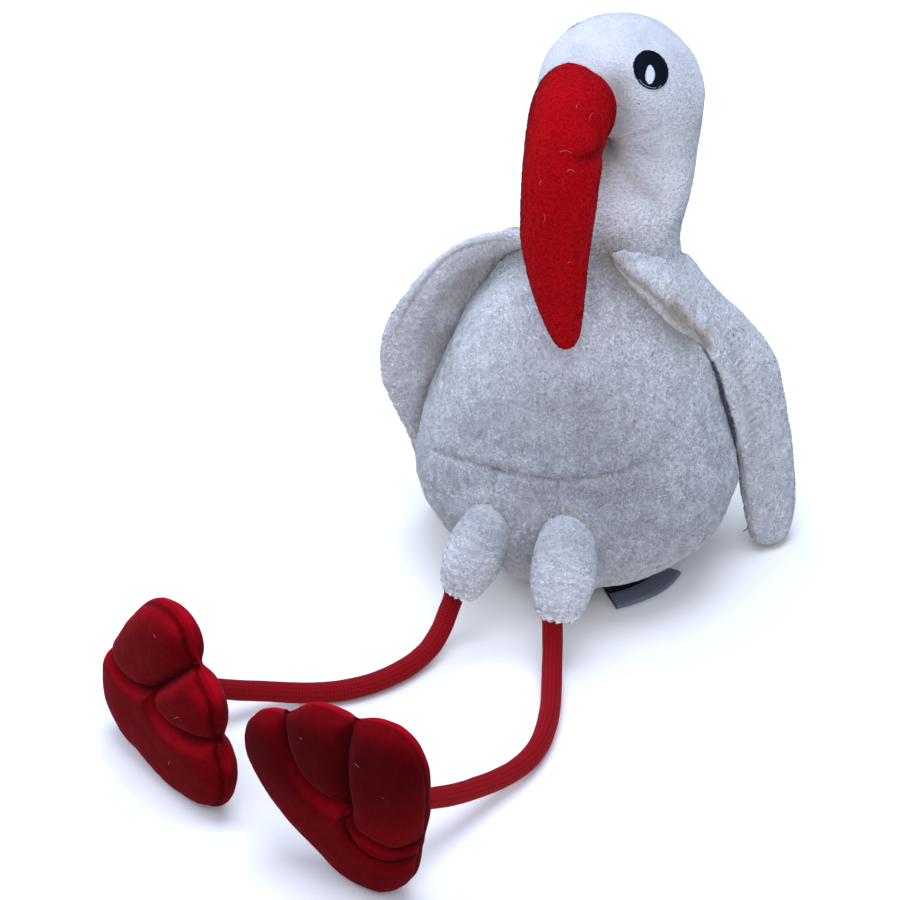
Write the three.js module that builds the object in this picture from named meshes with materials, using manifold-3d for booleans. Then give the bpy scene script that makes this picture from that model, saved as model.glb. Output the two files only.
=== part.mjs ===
// A stuffed toy stork that sits on the floor: pear-shaped body, long bill, floppy wings,
// and two cord legs that end in webbed feet. Millimetres, +Z up, the toy faces -Y.
// The origin is the middle of its seat, on the floor.
import * as THREE from 'three';
import { mergeVertices } from 'three/addons/utils/BufferGeometryUtils.js';
import Module from 'manifold-3d';

const wasm = await Module();
wasm.setup();

// ---- Driving sizes ----
const SEAT_RADIUS = 22;          // flat patch the body rests on
const BELLY_HEIGHT = 45;         // height of the widest ring
const BELLY_RADIUS = 64;
const BODY_DEPTH = 0.96;         // front-to-back size over side-to-side size
const HEAD_HEIGHT = 200;         // height of the middle of the head
const HEAD_RADIUS = 32.2;
const HEAD_CROWN = 31.5;         // middle of the head up to the crown
const NECK_FOOT = 146;           // where the neck starts on the trunk
const NECK_TOP = 180;            // where the head starts on the neck
const CUT = 0.35;                // gap between neighbouring pieces
const FIT = 0.5;                 // how far a piece stops short of the skin it is sewn to
const CORD_RADIUS = 4;
const CORD_SIDES = 10;
const CORD_STEP = 10;            // length of one step of a cord's tube
const EYE_WIDTH = 13;
const EYE_HEIGHT = 16;
const EYE_PROUD = 0.3;           // height of the embroidery over the head
const EYE_SUNK = 0.8;            // depth that the stitches are drawn into the head
const HEAD_TURN = THREE.MathUtils.degToRad(-31);   // the head looks to the toy's right
const HEAD_ROLL = THREE.MathUtils.degToRad(4.5);   // and leans over to the same side
const EYE_SPREAD = THREE.MathUtils.degToRad(78);   // each eye's angle from straight ahead
const EYE_LIFT = THREE.MathUtils.degToRad(38.5);   // each eye's angle above the head's middle
const BILL_TURN = THREE.MathUtils.degToRad(5);     // the bill is sewn on a little off the middle
const BILL_LIFT = THREE.MathUtils.degToRad(11);
const FOOT_LENGTH = 78;
const FOOT_THICKNESS = 21;
const LABEL_WIDTH = 36;

// ---- Materials ----
const fleece = new THREE.MeshStandardMaterial({ color: 0xe9e9f0, roughness: 0.95, metalness: 0 });
const feltRed = new THREE.MeshStandardMaterial({ color: 0xc00d18, roughness: 0.95, metalness: 0 });
const cordRed = new THREE.MeshStandardMaterial({ color: 0xb01020, roughness: 0.9, metalness: 0 });
const velourRed = new THREE.MeshStandardMaterial({ color: 0x96040f, roughness: 0.9, metalness: 0 });
const thread = new THREE.MeshStandardMaterial({ color: 0x0c1420, roughness: 0.6, metalness: 0 });
const ribbon = new THREE.MeshStandardMaterial({ color: 0x6d7078, roughness: 0.8, metalness: 0 });

// ---- Helpers ----
const vec = (x, y, z) => new THREE.Vector3(x, y, z);

// Values between stations [at, value, value, ...], in rising order of `at`, on one smooth curve.
function between(stations, at) {
  const last = stations.length - 2;
  let i = 0;
  while (i < last && at > stations[i + 1][0]) i += 1;
  const slope = (k, c) => {
    const a = stations[Math.max(k - 1, 0)];
    const b = stations[Math.min(k + 1, stations.length - 1)];
    return (b[c] - a[c]) / (b[0] - a[0]);
  };
  const [from, to] = [stations[i], stations[i + 1]];
  const span = to[0] - from[0];
  const t = THREE.MathUtils.clamp((at - from[0]) / span, 0, 1);
  const values = [];
  for (let c = 1; c < from.length; c += 1) {
    const ease = t * t * (3 - 2 * t);
    const leaving = (1 - t) * slope(i, c) * span;
    const arriving = t * slope(i + 1, c) * span;
    values.push(from[c] + (to[c] - from[c]) * ease + t * (1 - t) * (leaving - arriving));
  }
  return values;
}

// A closed solid through rings of points, all with the same count, with a cap on each end.
function loft(rings) {
  const count = rings[0].length;
  const positions = [];
  const index = [];
  for (const ring of rings) for (const p of ring) positions.push(p.x, p.y, p.z);
  for (let r = 0; r + 1 < rings.length; r += 1) {
    for (let k = 0; k < count; k += 1) {
      const a = r * count + k;
      const b = r * count + ((k + 1) % count);
      index.push(a, b, b + count, a, b + count, a + count);
    }
  }
  const cap = (ring, base, flip) => {
    const middle = ring.reduce((sum, p) => sum.add(p), vec(0, 0, 0)).divideScalar(count);
    const hub = positions.length / 3;
    positions.push(middle.x, middle.y, middle.z);
    for (let k = 0; k < count; k += 1) {
      const a = base + k;
      const b = base + ((k + 1) % count);
      if (flip) index.push(hub, b, a);
      else index.push(hub, a, b);
    }
  };
  cap(rings[0], 0, true);
  cap(rings[rings.length - 1], (rings.length - 1) * count, false);
  const geometry = new THREE.BufferGeometry();
  geometry.setAttribute('position', new THREE.Float32BufferAttribute(positions, 3));
  geometry.setIndex(index);
  return facingOut(geometry);
}

function signedVolume(geometry) {
  const p = geometry.getAttribute('position');
  const index = geometry.getIndex();
  const corner = (i) => new THREE.Vector3().fromBufferAttribute(p, index.getX(i));
  let volume = 0;
  for (let i = 0; i < index.count; i += 3) {
    volume += corner(i).dot(corner(i + 1).cross(corner(i + 2))) / 6;
  }
  return volume;
}

function facingOut(geometry) {
  if (signedVolume(geometry) > 0) return geometry;
  const index = Array.from(geometry.getIndex().array);
  for (let i = 0; i < index.length; i += 3) [index[i], index[i + 1]] = [index[i + 1], index[i]];
  geometry.setIndex(index);
  return geometry;
}

function toSolid(geometry) {
  const bare = geometry.clone();
  bare.deleteAttribute('normal');
  bare.deleteAttribute('uv');
  const merged = mergeVertices(bare, 1e-4);
  return new wasm.Manifold(new wasm.Mesh({
    numProp: 3,
    vertProperties: new Float32Array(merged.getAttribute('position').array),
    triVerts: new Uint32Array(merged.getIndex().array),
  }));
}

function toGeometry(solid) {
  const mesh = solid.getMesh();
  const geometry = new THREE.BufferGeometry();
  geometry.setAttribute('position', new THREE.Float32BufferAttribute(mesh.vertProperties, 3));
  geometry.setIndex(Array.from(mesh.triVerts));
  return geometry;
}

// Everything below the floor, to cut the flats that the toy rests on.
const belowFloor = toSolid(new THREE.BoxGeometry(600, 600, 60).translate(0, -60, -30));

// ---- Body: one sewn form from the seat to the crown, parted by level cuts ----
// [height, middle x, middle y, radius] from the belly's widest ring to the middle of the head.
const BODY_STATIONS = [
  [0, 0, 0, BELLY_RADIUS],
  [BELLY_HEIGHT, -1, 0, BELLY_RADIUS],
  [70, -2, 1, 58],
  [101, -2, 3, 47],
  [127, 1.5, 6, 36],
  [145, 6.5, 8, 29],
  [163, 10.3, 10, 28.3],
  [181, 10, 11.5, 30],
  [HEAD_HEIGHT, 9.3, 12, HEAD_RADIUS],
];

// The underside is the lower part of an oval, cut off level where its ring has the seat's radius.
const SEAT_DROP = Math.sqrt(1 - (SEAT_RADIUS / BELLY_RADIUS) ** 2);

function bodySection(z) {
  const [x, y, radius] = between(BODY_STATIONS, Math.min(z, HEAD_HEIGHT));
  if (z < BELLY_HEIGHT) {
    const drop = SEAT_DROP * ((BELLY_HEIGHT - z) / BELLY_HEIGHT);
    return { x, y, radius: radius * Math.sqrt(1 - drop * drop) };
  }
  if (z > HEAD_HEIGHT) {
    const rise = Math.min((z - HEAD_HEIGHT) / HEAD_CROWN, 1);
    return { x, y, radius: radius * Math.sqrt(1 - rise * rise) };
  }
  return { x, y, radius };
}

const BODY_SIDES = 36;
function bodyRing(z, grow = 0) {
  const { x, y, radius } = bodySection(z);
  const ring = [];
  for (let k = 0; k < BODY_SIDES; k += 1) {
    const turn = (k / BODY_SIDES) * 2 * Math.PI;
    ring.push(vec(
      x + (radius + grow) * Math.cos(turn),
      y + (radius * BODY_DEPTH + grow) * Math.sin(turn),
      z,
    ));
  }
  return ring;
}

// Heights from `low` to `high`, evenly spaced, both ends included.
function levels(low, high, steps) {
  return Array.from({ length: steps + 1 }, (_, i) => low + ((high - low) * i) / steps);
}

// Heights down the round underside and over the crown, spaced by equal angles.
const undersideLevels = Array.from({ length: 6 }, (_, i) => (
  BELLY_HEIGHT * (1 - Math.cos((i / 6) * (Math.PI / 2)))
));
const crownLevels = Array.from({ length: 7 }, (_, i) => (
  HEAD_HEIGHT + HEAD_CROWN * Math.sin(((i + 1) / 7.35) * (Math.PI / 2))
));
const trunkLevels = [...undersideLevels, ...levels(BELLY_HEIGHT, NECK_FOOT, 9)];
const neckLevels = levels(NECK_FOOT + CUT, NECK_TOP, 4);
const headLevels = [...levels(NECK_TOP + CUT, HEAD_HEIGHT, 3), ...crownLevels];

const bodySkin = toSolid(loft(
  [...trunkLevels, ...neckLevels.slice(1), ...headLevels.slice(1)].map((z) => bodyRing(z, FIT)),
));

// The middle of the head, and a direction out of it: turn from straight ahead, lift from level.
const headMiddle = vec(bodySection(HEAD_HEIGHT).x, bodySection(HEAD_HEIGHT).y, HEAD_HEIGHT);
const facing = vec(Math.sin(HEAD_TURN), -Math.cos(HEAD_TURN), 0);
function headDirection(turn, lift) {
  return facing.clone()
    .multiplyScalar(Math.cos(lift))
    .applyAxisAngle(vec(0, 0, 1), turn)
    .setZ(Math.sin(lift))
    .applyAxisAngle(facing, HEAD_ROLL);
}

// ---- Stuffed pieces swept along a bent line: [along, radius] down a curve of points ----
function sweptPiece(points, radii, sides, steps) {
  const line = new THREE.CatmullRomCurve3(points, false, 'centripetal');
  const side = vec(1, 0, 0);
  const rings = [];
  for (let i = 0; i <= steps; i += 1) {
    const along = i / steps;
    const middle = line.getPointAt(along);
    const ahead = line.getTangentAt(along);
    const across = side.clone().addScaledVector(ahead, -side.dot(ahead)).normalize();
    const up = ahead.clone().cross(across);
    const [wide, deep] = between(radii, along);
    const ring = [];
    for (let k = 0; k < sides; k += 1) {
      const turn = (k / sides) * 2 * Math.PI;
      ring.push(middle.clone()
        .addScaledVector(across, wide * Math.cos(turn))
        .addScaledVector(up, deep * Math.sin(turn)));
    }
    rings.push(ring);
  }
  return loft(rings);
}

// The bill leaves the face, bends down and ends in front of the chest.
function billShape() {
  const root = headMiddle.clone().addScaledVector(headDirection(BILL_TURN, BILL_LIFT), HEAD_RADIUS - 9);
  const points = [
    root,
    vec(2.2, -28, 207.5),
    vec(4.4, -41.5, 197.5),
    vec(4.9, -47, 183),
    vec(4.9, -48.3, 163),
    vec(6.5, -46, 140.6),
    vec(8.3, -43.8, 121.5),
  ];
  const radii = [
    [0, 16, 16.5],
    [0.22, 15.2, 15.5],
    [0.5, 13.8, 13],
    [0.72, 11.2, 10.6],
    [0.88, 7.8, 7.6],
    [0.96, 5.2, 5.1],
    [1, 2.8, 2.8],
  ];
  return toGeometry(toSolid(sweptPiece(points, radii, 20, 16)).subtract(bodySkin));
}

// The head, grown or shrunk by the same distance all over.
function headShell(grow) {
  return toSolid(loft(headLevels.map((z) => bodyRing(z, grow)
    .map((p) => p.setZ(p.z + (z > HEAD_HEIGHT ? grow : 0))))));
}

// An oval post out of the middle of the head, that an eye is cut from.
function eyePost(sign, grow = 0) {
  const out = headDirection(sign * EYE_SPREAD, EYE_LIFT);
  const post = new THREE.CylinderGeometry(1, 1, 2 * HEAD_RADIUS, 20);
  post.scale(EYE_WIDTH / 2 + grow, 1, EYE_HEIGHT / 2 + grow);
  post.translate(0, HEAD_RADIUS, 0);
  const across = vec(0, 0, 1).applyAxisAngle(facing, HEAD_ROLL).cross(out).normalize();
  const up = out.clone().cross(across);
  post.applyMatrix4(new THREE.Matrix4().makeBasis(across, out, up).setPosition(headMiddle));
  return toSolid(facingOut(post));
}

// An eye is an oval of stitches, drawn into the head so that it stands hardly proud.
function eyeShape(sign) {
  return toGeometry(eyePost(sign).intersect(headShell(EYE_PROUD)).subtract(headShell(-EYE_SUNK)));
}

function headShape() {
  const stitched = eyePost(1, CUT).add(eyePost(-1, CUT)).subtract(headShell(-EYE_SUNK - CUT));
  return toGeometry(toSolid(loft(headLevels.map((z) => bodyRing(z)))).subtract(stitched));
}

// ---- Thin stuffed panels: wings and tail ----
// Each station is [along, front edge x, y, z, back edge x, y, z, camber, half thickness].
function panelShape(stations, steps, aroundHalf) {
  const rings = [];
  for (let i = 0; i <= steps; i += 1) {
    const along = i / steps;
    const v = between(stations, along);
    const front = vec(v[0], v[1], v[2]);
    const back = vec(v[3], v[4], v[5]);
    const ahead = vec(...between(stations, Math.min(along + 0.03, 1)).slice(0, 3))
      .add(vec(...between(stations, Math.min(along + 0.03, 1)).slice(3, 6)))
      .sub(vec(...between(stations, Math.max(along - 0.03, 0)).slice(0, 3)))
      .sub(vec(...between(stations, Math.max(along - 0.03, 0)).slice(3, 6)));
    const chord = back.clone().sub(front);
    const face = chord.clone().cross(ahead).normalize();
    const ring = [];
    for (let k = 0; k < 2 * aroundHalf; k += 1) {
      const turn = (k / aroundHalf) * Math.PI;
      const across = (1 - Math.cos(turn)) / 2;
      const bulge = Math.sin(turn) * v[7];
      const dish = v[6] * (1 - (2 * across - 1) ** 2);
      ring.push(front.clone().addScaledVector(chord, across).addScaledVector(face, bulge + dish));
    }
    rings.push(ring);
  }
  return loft(rings);
}

const WING_LEFT = [
  [0.0, 17, -18, 149, 27, 25, 136, 0, 4],
  [0.12, 28, -18, 138, 33.5, 27, 123, 1, 7],
  [0.27, 40, -8, 116.5, 45, 32.5, 108, 3, 8],
  [0.42, 50.5, 5, 95, 56.5, 38, 96, 4, 7.5],
  [0.57, 55.5, 12.5, 71, 66, 43.3, 80, 4, 7],
  [0.72, 59.7, 17.5, 49.8, 70.5, 46.5, 57, 3, 7],
  [0.86, 62.3, 20.5, 28, 75.5, 45, 30, 2, 6.5],
  [0.94, 64.4, 21.5, 13, 77.5, 42, 13, 1, 6],
  [0.98, 66.3, 22.5, 4.5, 77.3, 36, 4.5, 0, 5],
  [1.0, 69, 25.5, 1.5, 75, 32, 1.5, 0, 3],
];

const WING_RIGHT = [
  [0.0, -3.5, -19, 148, -14, 22, 136, 0, 4],
  [0.1, -24, -16, 148, -28, 24, 127, -2, 4.5],
  [0.23, -46, -12, 137.5, -38, 26, 112, -4, 5],
  [0.37, -61, -15, 122, -46, 28, 97, -7, 5],
  [0.52, -74, -18, 99, -54, 29, 78, -8, 5],
  [0.67, -76, -17, 74, -58, 30, 56, -8, 5],
  [0.82, -69.5, -8, 46, -60, 30, 33, -6, 5],
  [0.94, -66, 3, 19, -58, 28, 12, -3, 4.5],
  [1.0, -62, 11, 4, -59, 20, 2, 0, 2.5],
];

const TAIL = [
  [0.0, -20, 46, 30, 18, 46, 30, 0, 5],
  [0.35, -19, 74, 23, 17, 74, 23, 1, 7],
  [0.7, -15, 90, 17, 13, 90, 17, 1, 6],
  [0.92, -9, 100, 11, 7, 100, 11, 0, 4],
  [1.0, -4, 104, 9, 2, 104, 9, 0, 1.5],
];

function sewnToBody(geometry) {
  return toGeometry(toSolid(geometry).subtract(bodySkin).subtract(belowFloor));
}

// ---- Legs: a stuffed thigh, a cord and a webbed foot on each side ----
const THIGHS = {
  left: { root: vec(11, -46, 48), middle: vec(16.2, -66, 40), end: vec(17.2, -77.5, 20.8), girth: 12.7 },
  right: { root: vec(-14.5, -46, 48), middle: vec(-18.6, -65, 40), end: vec(-24, -75, 21.3), girth: 11.6 },
};

const CORD_ROUTES = {
  left: [
    [15.0, -76.6, 24.0], [15.7, -78.0, 20.5], [16.5, -80.0, 15.5], [17.9, -83.9, 11.0], [19.7, -89.7, 7.0],
    [22.6, -98.9, 4.8], [26.0, -110.5, 4.4], [28.4, -123.4, 4.4], [29.0, -135.7, 4.6], [27.5, -146.9, 5.4],
    [24.2, -158.7, 7.6], [19.9, -170.5, 11.0], [14.9, -183.3, 15.5], [9.8, -195.2, 21.0], [5.4, -205.0, 26.0],
    [1.8, -213.2, 29.0], [-1.6, -221.0, 31.0],
  ],
  right: [
    [-25.6, -71.9, 22.0], [-26.0, -74.6, 18.0], [-26.6, -78.0, 14.5], [-27.4, -82.8, 10.0],
    [-29.0, -89.5, 6.2], [-31.8, -98.5, 4.6], [-36.0, -107.9, 4.4], [-41.8, -116.5, 4.4],
    [-49.6, -124.1, 4.4], [-59.3, -130.2, 4.6], [-68.6, -135.9, 6.2], [-77.0, -142.0, 9.0],
    [-84.1, -148.6, 12.2], [-90.8, -155.0, 15.8], [-98.2, -160.7, 19.0], [-105.0, -165.9, 21.0],
    [-111.2, -170.6, 22.2],
  ],
};

const cordCurves = {};
for (const [side, route] of Object.entries(CORD_ROUTES)) {
  cordCurves[side] = new THREE.CatmullRomCurve3(route.map((p) => vec(...p)), false, 'centripetal');
}

function tube(line, radius) {
  const corners = Array.from({ length: CORD_SIDES }, (_, k) => {
    const turn = (k / CORD_SIDES) * 2 * Math.PI;
    return new THREE.Vector2(radius * Math.cos(turn), radius * Math.sin(turn));
  });
  const steps = Math.round(line.getLength() / CORD_STEP);
  return new THREE.ExtrudeGeometry(new THREE.Shape(corners), { steps, extrudePath: line });
}

// The room a cord takes where it goes into a sewn mouth: a little wider and longer than itself.
function cordRoom(side) {
  const line = cordCurves[side];
  const start = line.getPointAt(0).addScaledVector(line.getTangentAt(0), -CUT);
  const end = line.getPointAt(1).addScaledVector(line.getTangentAt(1), CUT);
  const points = [start, ...line.points.slice(1, -1), end];
  return toSolid(tube(new THREE.CatmullRomCurve3(points, false, 'centripetal'), CORD_RADIUS + FIT));
}

// A tapered stuffed thigh that ends in a rounded mouth, where the cord leaves it.
function thighShape(side) {
  const { root, middle, end, girth } = THIGHS[side];
  const shares = [
    [0, 0.66],
    [0.3, 0.91],
    [0.6, 1],
    [0.85, 0.85],
    [0.96, 0.66],
    [1, 0.48],
  ];
  const radii = shares.map(([along, share]) => [along, share * girth, share * girth * 0.95]);
  const stuffed = sewnToBody(sweptPiece([root, middle, end], radii, 20, 10));
  return toGeometry(toSolid(stuffed).subtract(cordRoom(side)));
}

// Where each foot stands: its heel, the way its toes point, and the way its outer toe lies.
const FEET = {
  left: { heel: vec(3.8, -223.5, 0.8), toes: vec(-0.33, -0.01, 0.94), outer: vec(-0.91, 0.28, -0.32) },
  right: { heel: vec(-125.8, -166.8, 14.4), toes: vec(0.74, -0.49, 0.45), outer: vec(0.37, -0.26, -0.89) },
};
const FOOT_HUB = 0.45 * FOOT_LENGTH;   // where the two toe grooves meet, from the heel
const NOTCH_ANGLE = THREE.MathUtils.degToRad(22);

// The foot's outline around the hub, [angle from the toes' axis, distance]. The heel is at
// 180 degrees, and the outer toe, the longer one, is on the side of the rising angles.
const FOOT_OUTLINE = [
  [-180, 36.2],
  [-155, 33],
  [-130, 28.8],
  [-105, 29],
  [-80, 35.5],
  [-58, 45.5],
  [-40, 48],
  [-22, 41.5],
  [0, 43.5],
  [22, 41.5],
  [40, 48],
  [58, 47.5],
  [80, 39],
  [105, 32.3],
  [130, 30.3],
  [155, 34],
  [180, 36.2],
];

function footShape(side) {
  const { heel, toes, outer } = FEET[side];
  const around = 34;
  const ringShares = [0.12, 0.3, 0.5, 0.68, 0.83, 0.94];
  const groove = (angle) => {
    const toNotch = Math.abs(Math.abs(angle) - NOTCH_ANGLE);
    return Math.exp(-((toNotch / 0.12) ** 2));
  };
  const flatPoint = (k, share) => {
    const angle = ((k / around) * 2 - 1) * Math.PI;
    const reach = between(FOOT_OUTLINE, THREE.MathUtils.radToDeg(angle))[0] * share;
    const p = FOOT_HUB + reach * Math.cos(angle);
    const q = reach * Math.sin(angle);
    const pillow = (FOOT_THICKNESS / 2) * (1 - share ** 2.6) ** 0.55;
    return { p, q, height: pillow * (1 - 0.45 * groove(angle) * Math.min(share * 3, 1)) };
  };
  const rings = [];
  const ringAt = (share, face) => Array.from({ length: around }, (_, k) => {
    const { p, q, height } = flatPoint(k, share);
    return vec(p, q, face * height);
  });
  for (const share of ringShares) rings.push(ringAt(share, 1));
  rings.push(ringAt(1, 0));
  for (const share of [...ringShares].reverse()) rings.push(ringAt(share, -1));
  const solid = loft(rings);
  const axis = toes.clone().normalize();
  const across = outer.clone().addScaledVector(axis, -outer.dot(axis)).normalize();
  const face = axis.clone().cross(across);
  solid.applyMatrix4(new THREE.Matrix4().makeBasis(axis, across, face).setPosition(heel));
  return toGeometry(toSolid(facingOut(solid)).subtract(belowFloor).subtract(cordRoom(side)));
}

// ---- Care label: a folded ribbon that lies under the edge of the seat ----
function labelShape() {
  const thick = 0.7;
  const fold = 1.3;
  const inner = 31;
  const outer = 44.5;
  const rings = [];
  const steps = 6;
  for (let i = 0; i <= steps; i += 1) {
    const turn = THREE.MathUtils.degToRad(-28) + ((i / steps) - 0.5) * (LABEL_WIDTH / outer);
    const at = (reach, z) => vec(reach * Math.cos(turn), reach * Math.sin(turn), z);
    rings.push([
      at(inner, 0.1),
      at(outer - fold, 0.1),
      at(outer, 0.1 + thick + fold / 2),
      at(outer - fold, 0.1 + 2 * thick + fold),
      at(inner + 6, 0.1 + 2 * thick + fold),
      at(inner + 6, 0.1 + thick + fold),
      at(outer - fold - thick, 0.1 + thick + fold),
      at(outer - thick, 0.1 + thick + fold / 2),
      at(outer - fold - thick, 0.1 + thick),
      at(inner, 0.1 + thick),
    ]);
  }
  return toGeometry(toSolid(loft(rings)).subtract(bodySkin));
}

// ---- Assembly ----
const stork = new THREE.Group();
function add(name, geometry, material) {
  const mesh = new THREE.Mesh(geometry, material);
  mesh.name = name;
  stork.add(mesh);
}

add('trunk', loft(trunkLevels.map((z) => bodyRing(z))), fleece);
add('neck', loft(neckLevels.map((z) => bodyRing(z))), fleece);
add('head', headShape(), fleece);
add('bill', billShape(), feltRed);
add('eye_left', eyeShape(1), thread);
add('eye_right', eyeShape(-1), thread);
add('wing_left', sewnToBody(panelShape(WING_LEFT, 16, 8)), fleece);
add('wing_right', sewnToBody(panelShape(WING_RIGHT, 16, 8)), fleece);
add('tail', sewnToBody(panelShape(TAIL, 10, 8)), fleece);
for (const side of ['left', 'right']) {
  add(`thigh_${side}`, thighShape(side), fleece);
  add(`leg_${side}`, tube(cordCurves[side], CORD_RADIUS), cordRed);
  add(`foot_${side}`, footShape(side), velourRed);
}
add('care_label', labelShape(), ribbon);

export default stork;
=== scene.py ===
import itertools
import math

import bpy
import numpy as np
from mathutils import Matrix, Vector
from mathutils.bvhtree import BVHTree


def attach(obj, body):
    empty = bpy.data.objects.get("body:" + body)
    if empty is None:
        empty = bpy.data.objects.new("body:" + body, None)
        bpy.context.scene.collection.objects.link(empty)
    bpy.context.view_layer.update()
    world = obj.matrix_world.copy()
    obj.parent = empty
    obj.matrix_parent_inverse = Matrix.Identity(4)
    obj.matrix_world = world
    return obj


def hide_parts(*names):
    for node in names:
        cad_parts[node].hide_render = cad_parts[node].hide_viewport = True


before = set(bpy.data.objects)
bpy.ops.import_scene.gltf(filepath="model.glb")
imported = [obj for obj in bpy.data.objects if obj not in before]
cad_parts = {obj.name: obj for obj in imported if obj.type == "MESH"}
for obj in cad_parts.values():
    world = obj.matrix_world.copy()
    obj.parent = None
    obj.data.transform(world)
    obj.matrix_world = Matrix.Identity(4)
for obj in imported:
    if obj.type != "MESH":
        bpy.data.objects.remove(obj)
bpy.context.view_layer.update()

MM = 0.001
SIDES = ("left", "right")


# ---- Camera ----
VIEW_AZIMUTH = math.radians(20)
VIEW_ELEVATION = math.radians(33)
VIEW_DISTANCE = 1.5
VIEW_LENS = 150
VIEW_SENSOR = 36
VIEW_AIM = Vector((-0.0551, 0.0029, 0.0332))


def add_camera():
    """A long lens that looks down on the toy from its front left."""
    towards = Vector((
        math.sin(VIEW_AZIMUTH) * math.cos(VIEW_ELEVATION),
        -math.cos(VIEW_AZIMUTH) * math.cos(VIEW_ELEVATION),
        math.sin(VIEW_ELEVATION),
    ))
    data = bpy.data.cameras.new("camera")
    data.lens = VIEW_LENS
    data.sensor_width = VIEW_SENSOR
    camera = bpy.data.objects.new("camera", data)
    camera.location = VIEW_AIM + towards * VIEW_DISTANCE
    camera.rotation_euler = towards.to_track_quat("Z", "Y").to_euler()
    bpy.context.scene.collection.objects.link(camera)
    bpy.context.scene.camera = camera


# ---- Arithmetic on many points at once ----
def unit(v):
    return v / np.maximum(np.linalg.norm(v, axis=-1, keepdims=True), 1e-9)


def smoothstep(low, high, x):
    t = np.clip((x - low) / (high - low), 0, 1)
    return t * t * (3 - 2 * t)


def bell(off, width):
    """1 where `off` is 0, dying away over about that width on both sides."""
    return np.exp(-((off / width) ** 2))


def fade_ends(along, first, last):
    """1 along a line, falling to 0 over those shares of it at its two ends."""
    return smoothstep(0, first, along) * smoothstep(1, 1 - last, along)


def angle_from(middle, turn):
    """Degrees from one turn to another, between -180 and 180."""
    return (turn - middle + 180) % 360 - 180


def between(stations, at):
    """Values at `at` on one smooth curve through stations [at, value, value, ...]."""
    s = np.asarray(stations, float)
    at = np.asarray(at, float)
    last = len(s) - 1
    i = np.clip(np.searchsorted(s[:, 0], at, side="left") - 1, 0, last - 1)

    def slope(k):
        a = s[np.maximum(k - 1, 0)]
        b = s[np.minimum(k + 1, last)]
        return (b[..., 1:] - a[..., 1:]) / (b[..., :1] - a[..., :1])

    span = (s[i + 1, 0] - s[i, 0])[..., None]
    t = np.clip((at[..., None] - s[i, :1]) / span, 0, 1)
    ease = t * t * (3 - 2 * t)
    bend = (1 - t) * slope(i) * span - t * slope(i + 1) * span
    return s[i, 1:] + (s[i + 1, 1:] - s[i, 1:]) * ease + t * (1 - t) * bend


def smooth_line(knots, count):
    """Evenly spaced points on a centripetal Catmull-Rom curve through the knots."""
    p = np.asarray(knots, float)
    p = np.vstack([2 * p[0] - p[1], p, 2 * p[-1] - p[-2]])
    t = np.linspace(0, 1, 40, endpoint=False)[:, None]
    pieces = []
    for a, b, c, d in zip(p, p[1:], p[2:], p[3:]):
        before, here, after = (np.linalg.norm(v) ** 0.5 for v in (b - a, c - b, d - c))
        leaving = here * ((b - a) / before - (c - a) / (before + here) + (c - b) / here)
        arriving = here * ((c - b) / here - (d - b) / (here + after) + (d - c) / after)
        pieces.append(
            b * (2 * t**3 - 3 * t**2 + 1) + leaving * (t**3 - 2 * t**2 + t)
            + c * (3 * t**2 - 2 * t**3) + arriving * (t**3 - t**2)
        )
    return resample(np.vstack([*pieces, p[-2:-1]]), count)


def resample(line, count):
    """The same line with evenly spaced points."""
    run = np.concatenate([[0], np.cumsum(np.linalg.norm(np.diff(line, axis=0), axis=1))])
    at = np.linspace(0, run[-1], count)
    return np.stack([np.interp(at, run, line[:, k]) for k in range(line.shape[1])], axis=1)


def length_of(line):
    return float(np.linalg.norm(np.diff(line, axis=0), axis=1).sum())


CELL_FACTORS = (73856093, 19349663, 83492791)
SEED_FACTOR = 2654435761
MIXING = ((13, 1274126177), (16, 1911520717))       # shift and factor of each round


def lattice(cell, seed):
    """A repeatable random number from 0 to 1 for each whole-numbered cell."""
    mixed = seed * SEED_FACTOR
    for axis, factor in enumerate(CELL_FACTORS):
        mixed = mixed ^ (cell[..., axis].astype(np.int64) * factor)
    for shift, factor in MIXING:
        mixed = (mixed ^ (mixed >> shift)) * factor
    return ((mixed ^ (mixed >> 15)) & 0xFFFFFF) / 0xFFFFFF


def noise(points, size, seed=1):
    """Smooth noise from -1 to 1 with lumps of that size."""
    at = points / size + 0.37 * seed
    cell = np.floor(at)
    part = at - cell
    ease = part * part * (3 - 2 * part)
    total = np.zeros(points.shape[:-1])
    for corner in itertools.product((0, 1), repeat=3):
        share = np.prod(np.where(np.array(corner) == 1, ease, 1 - ease), axis=-1)
        total += share * lattice(cell + corner, seed)
    return 2 * total - 1


def ridges(points, size, seed=1):
    """Winding ridges, from 0 in the pits to 1 on the crests."""
    drift = np.stack([noise(points, size * 1.3, seed + k) for k in (11, 12, 13)], axis=-1)
    return 1 - np.abs(noise(points + drift * size * 0.5, size, seed)) * 1.6


def distance_to(points, line):
    """How far each point is from a line of points, and how far along the line its nearest is."""
    flat = points.reshape(-1, 3)
    best = np.full(len(flat), np.inf)
    along = np.zeros(len(flat))
    run = 0.0
    for a, b in zip(line, line[1:]):
        step = b - a
        t = np.clip(((flat - a) @ step) / (step @ step), 0, 1)
        off = np.linalg.norm(flat - a - t[:, None] * step, axis=1)
        closer = off < best
        best[closer] = off[closer]
        size = np.linalg.norm(step)
        along[closer] = run + t[closer] * size
        run += size
    return best.reshape(points.shape[:-1]), along.reshape(points.shape[:-1]) / run


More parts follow.
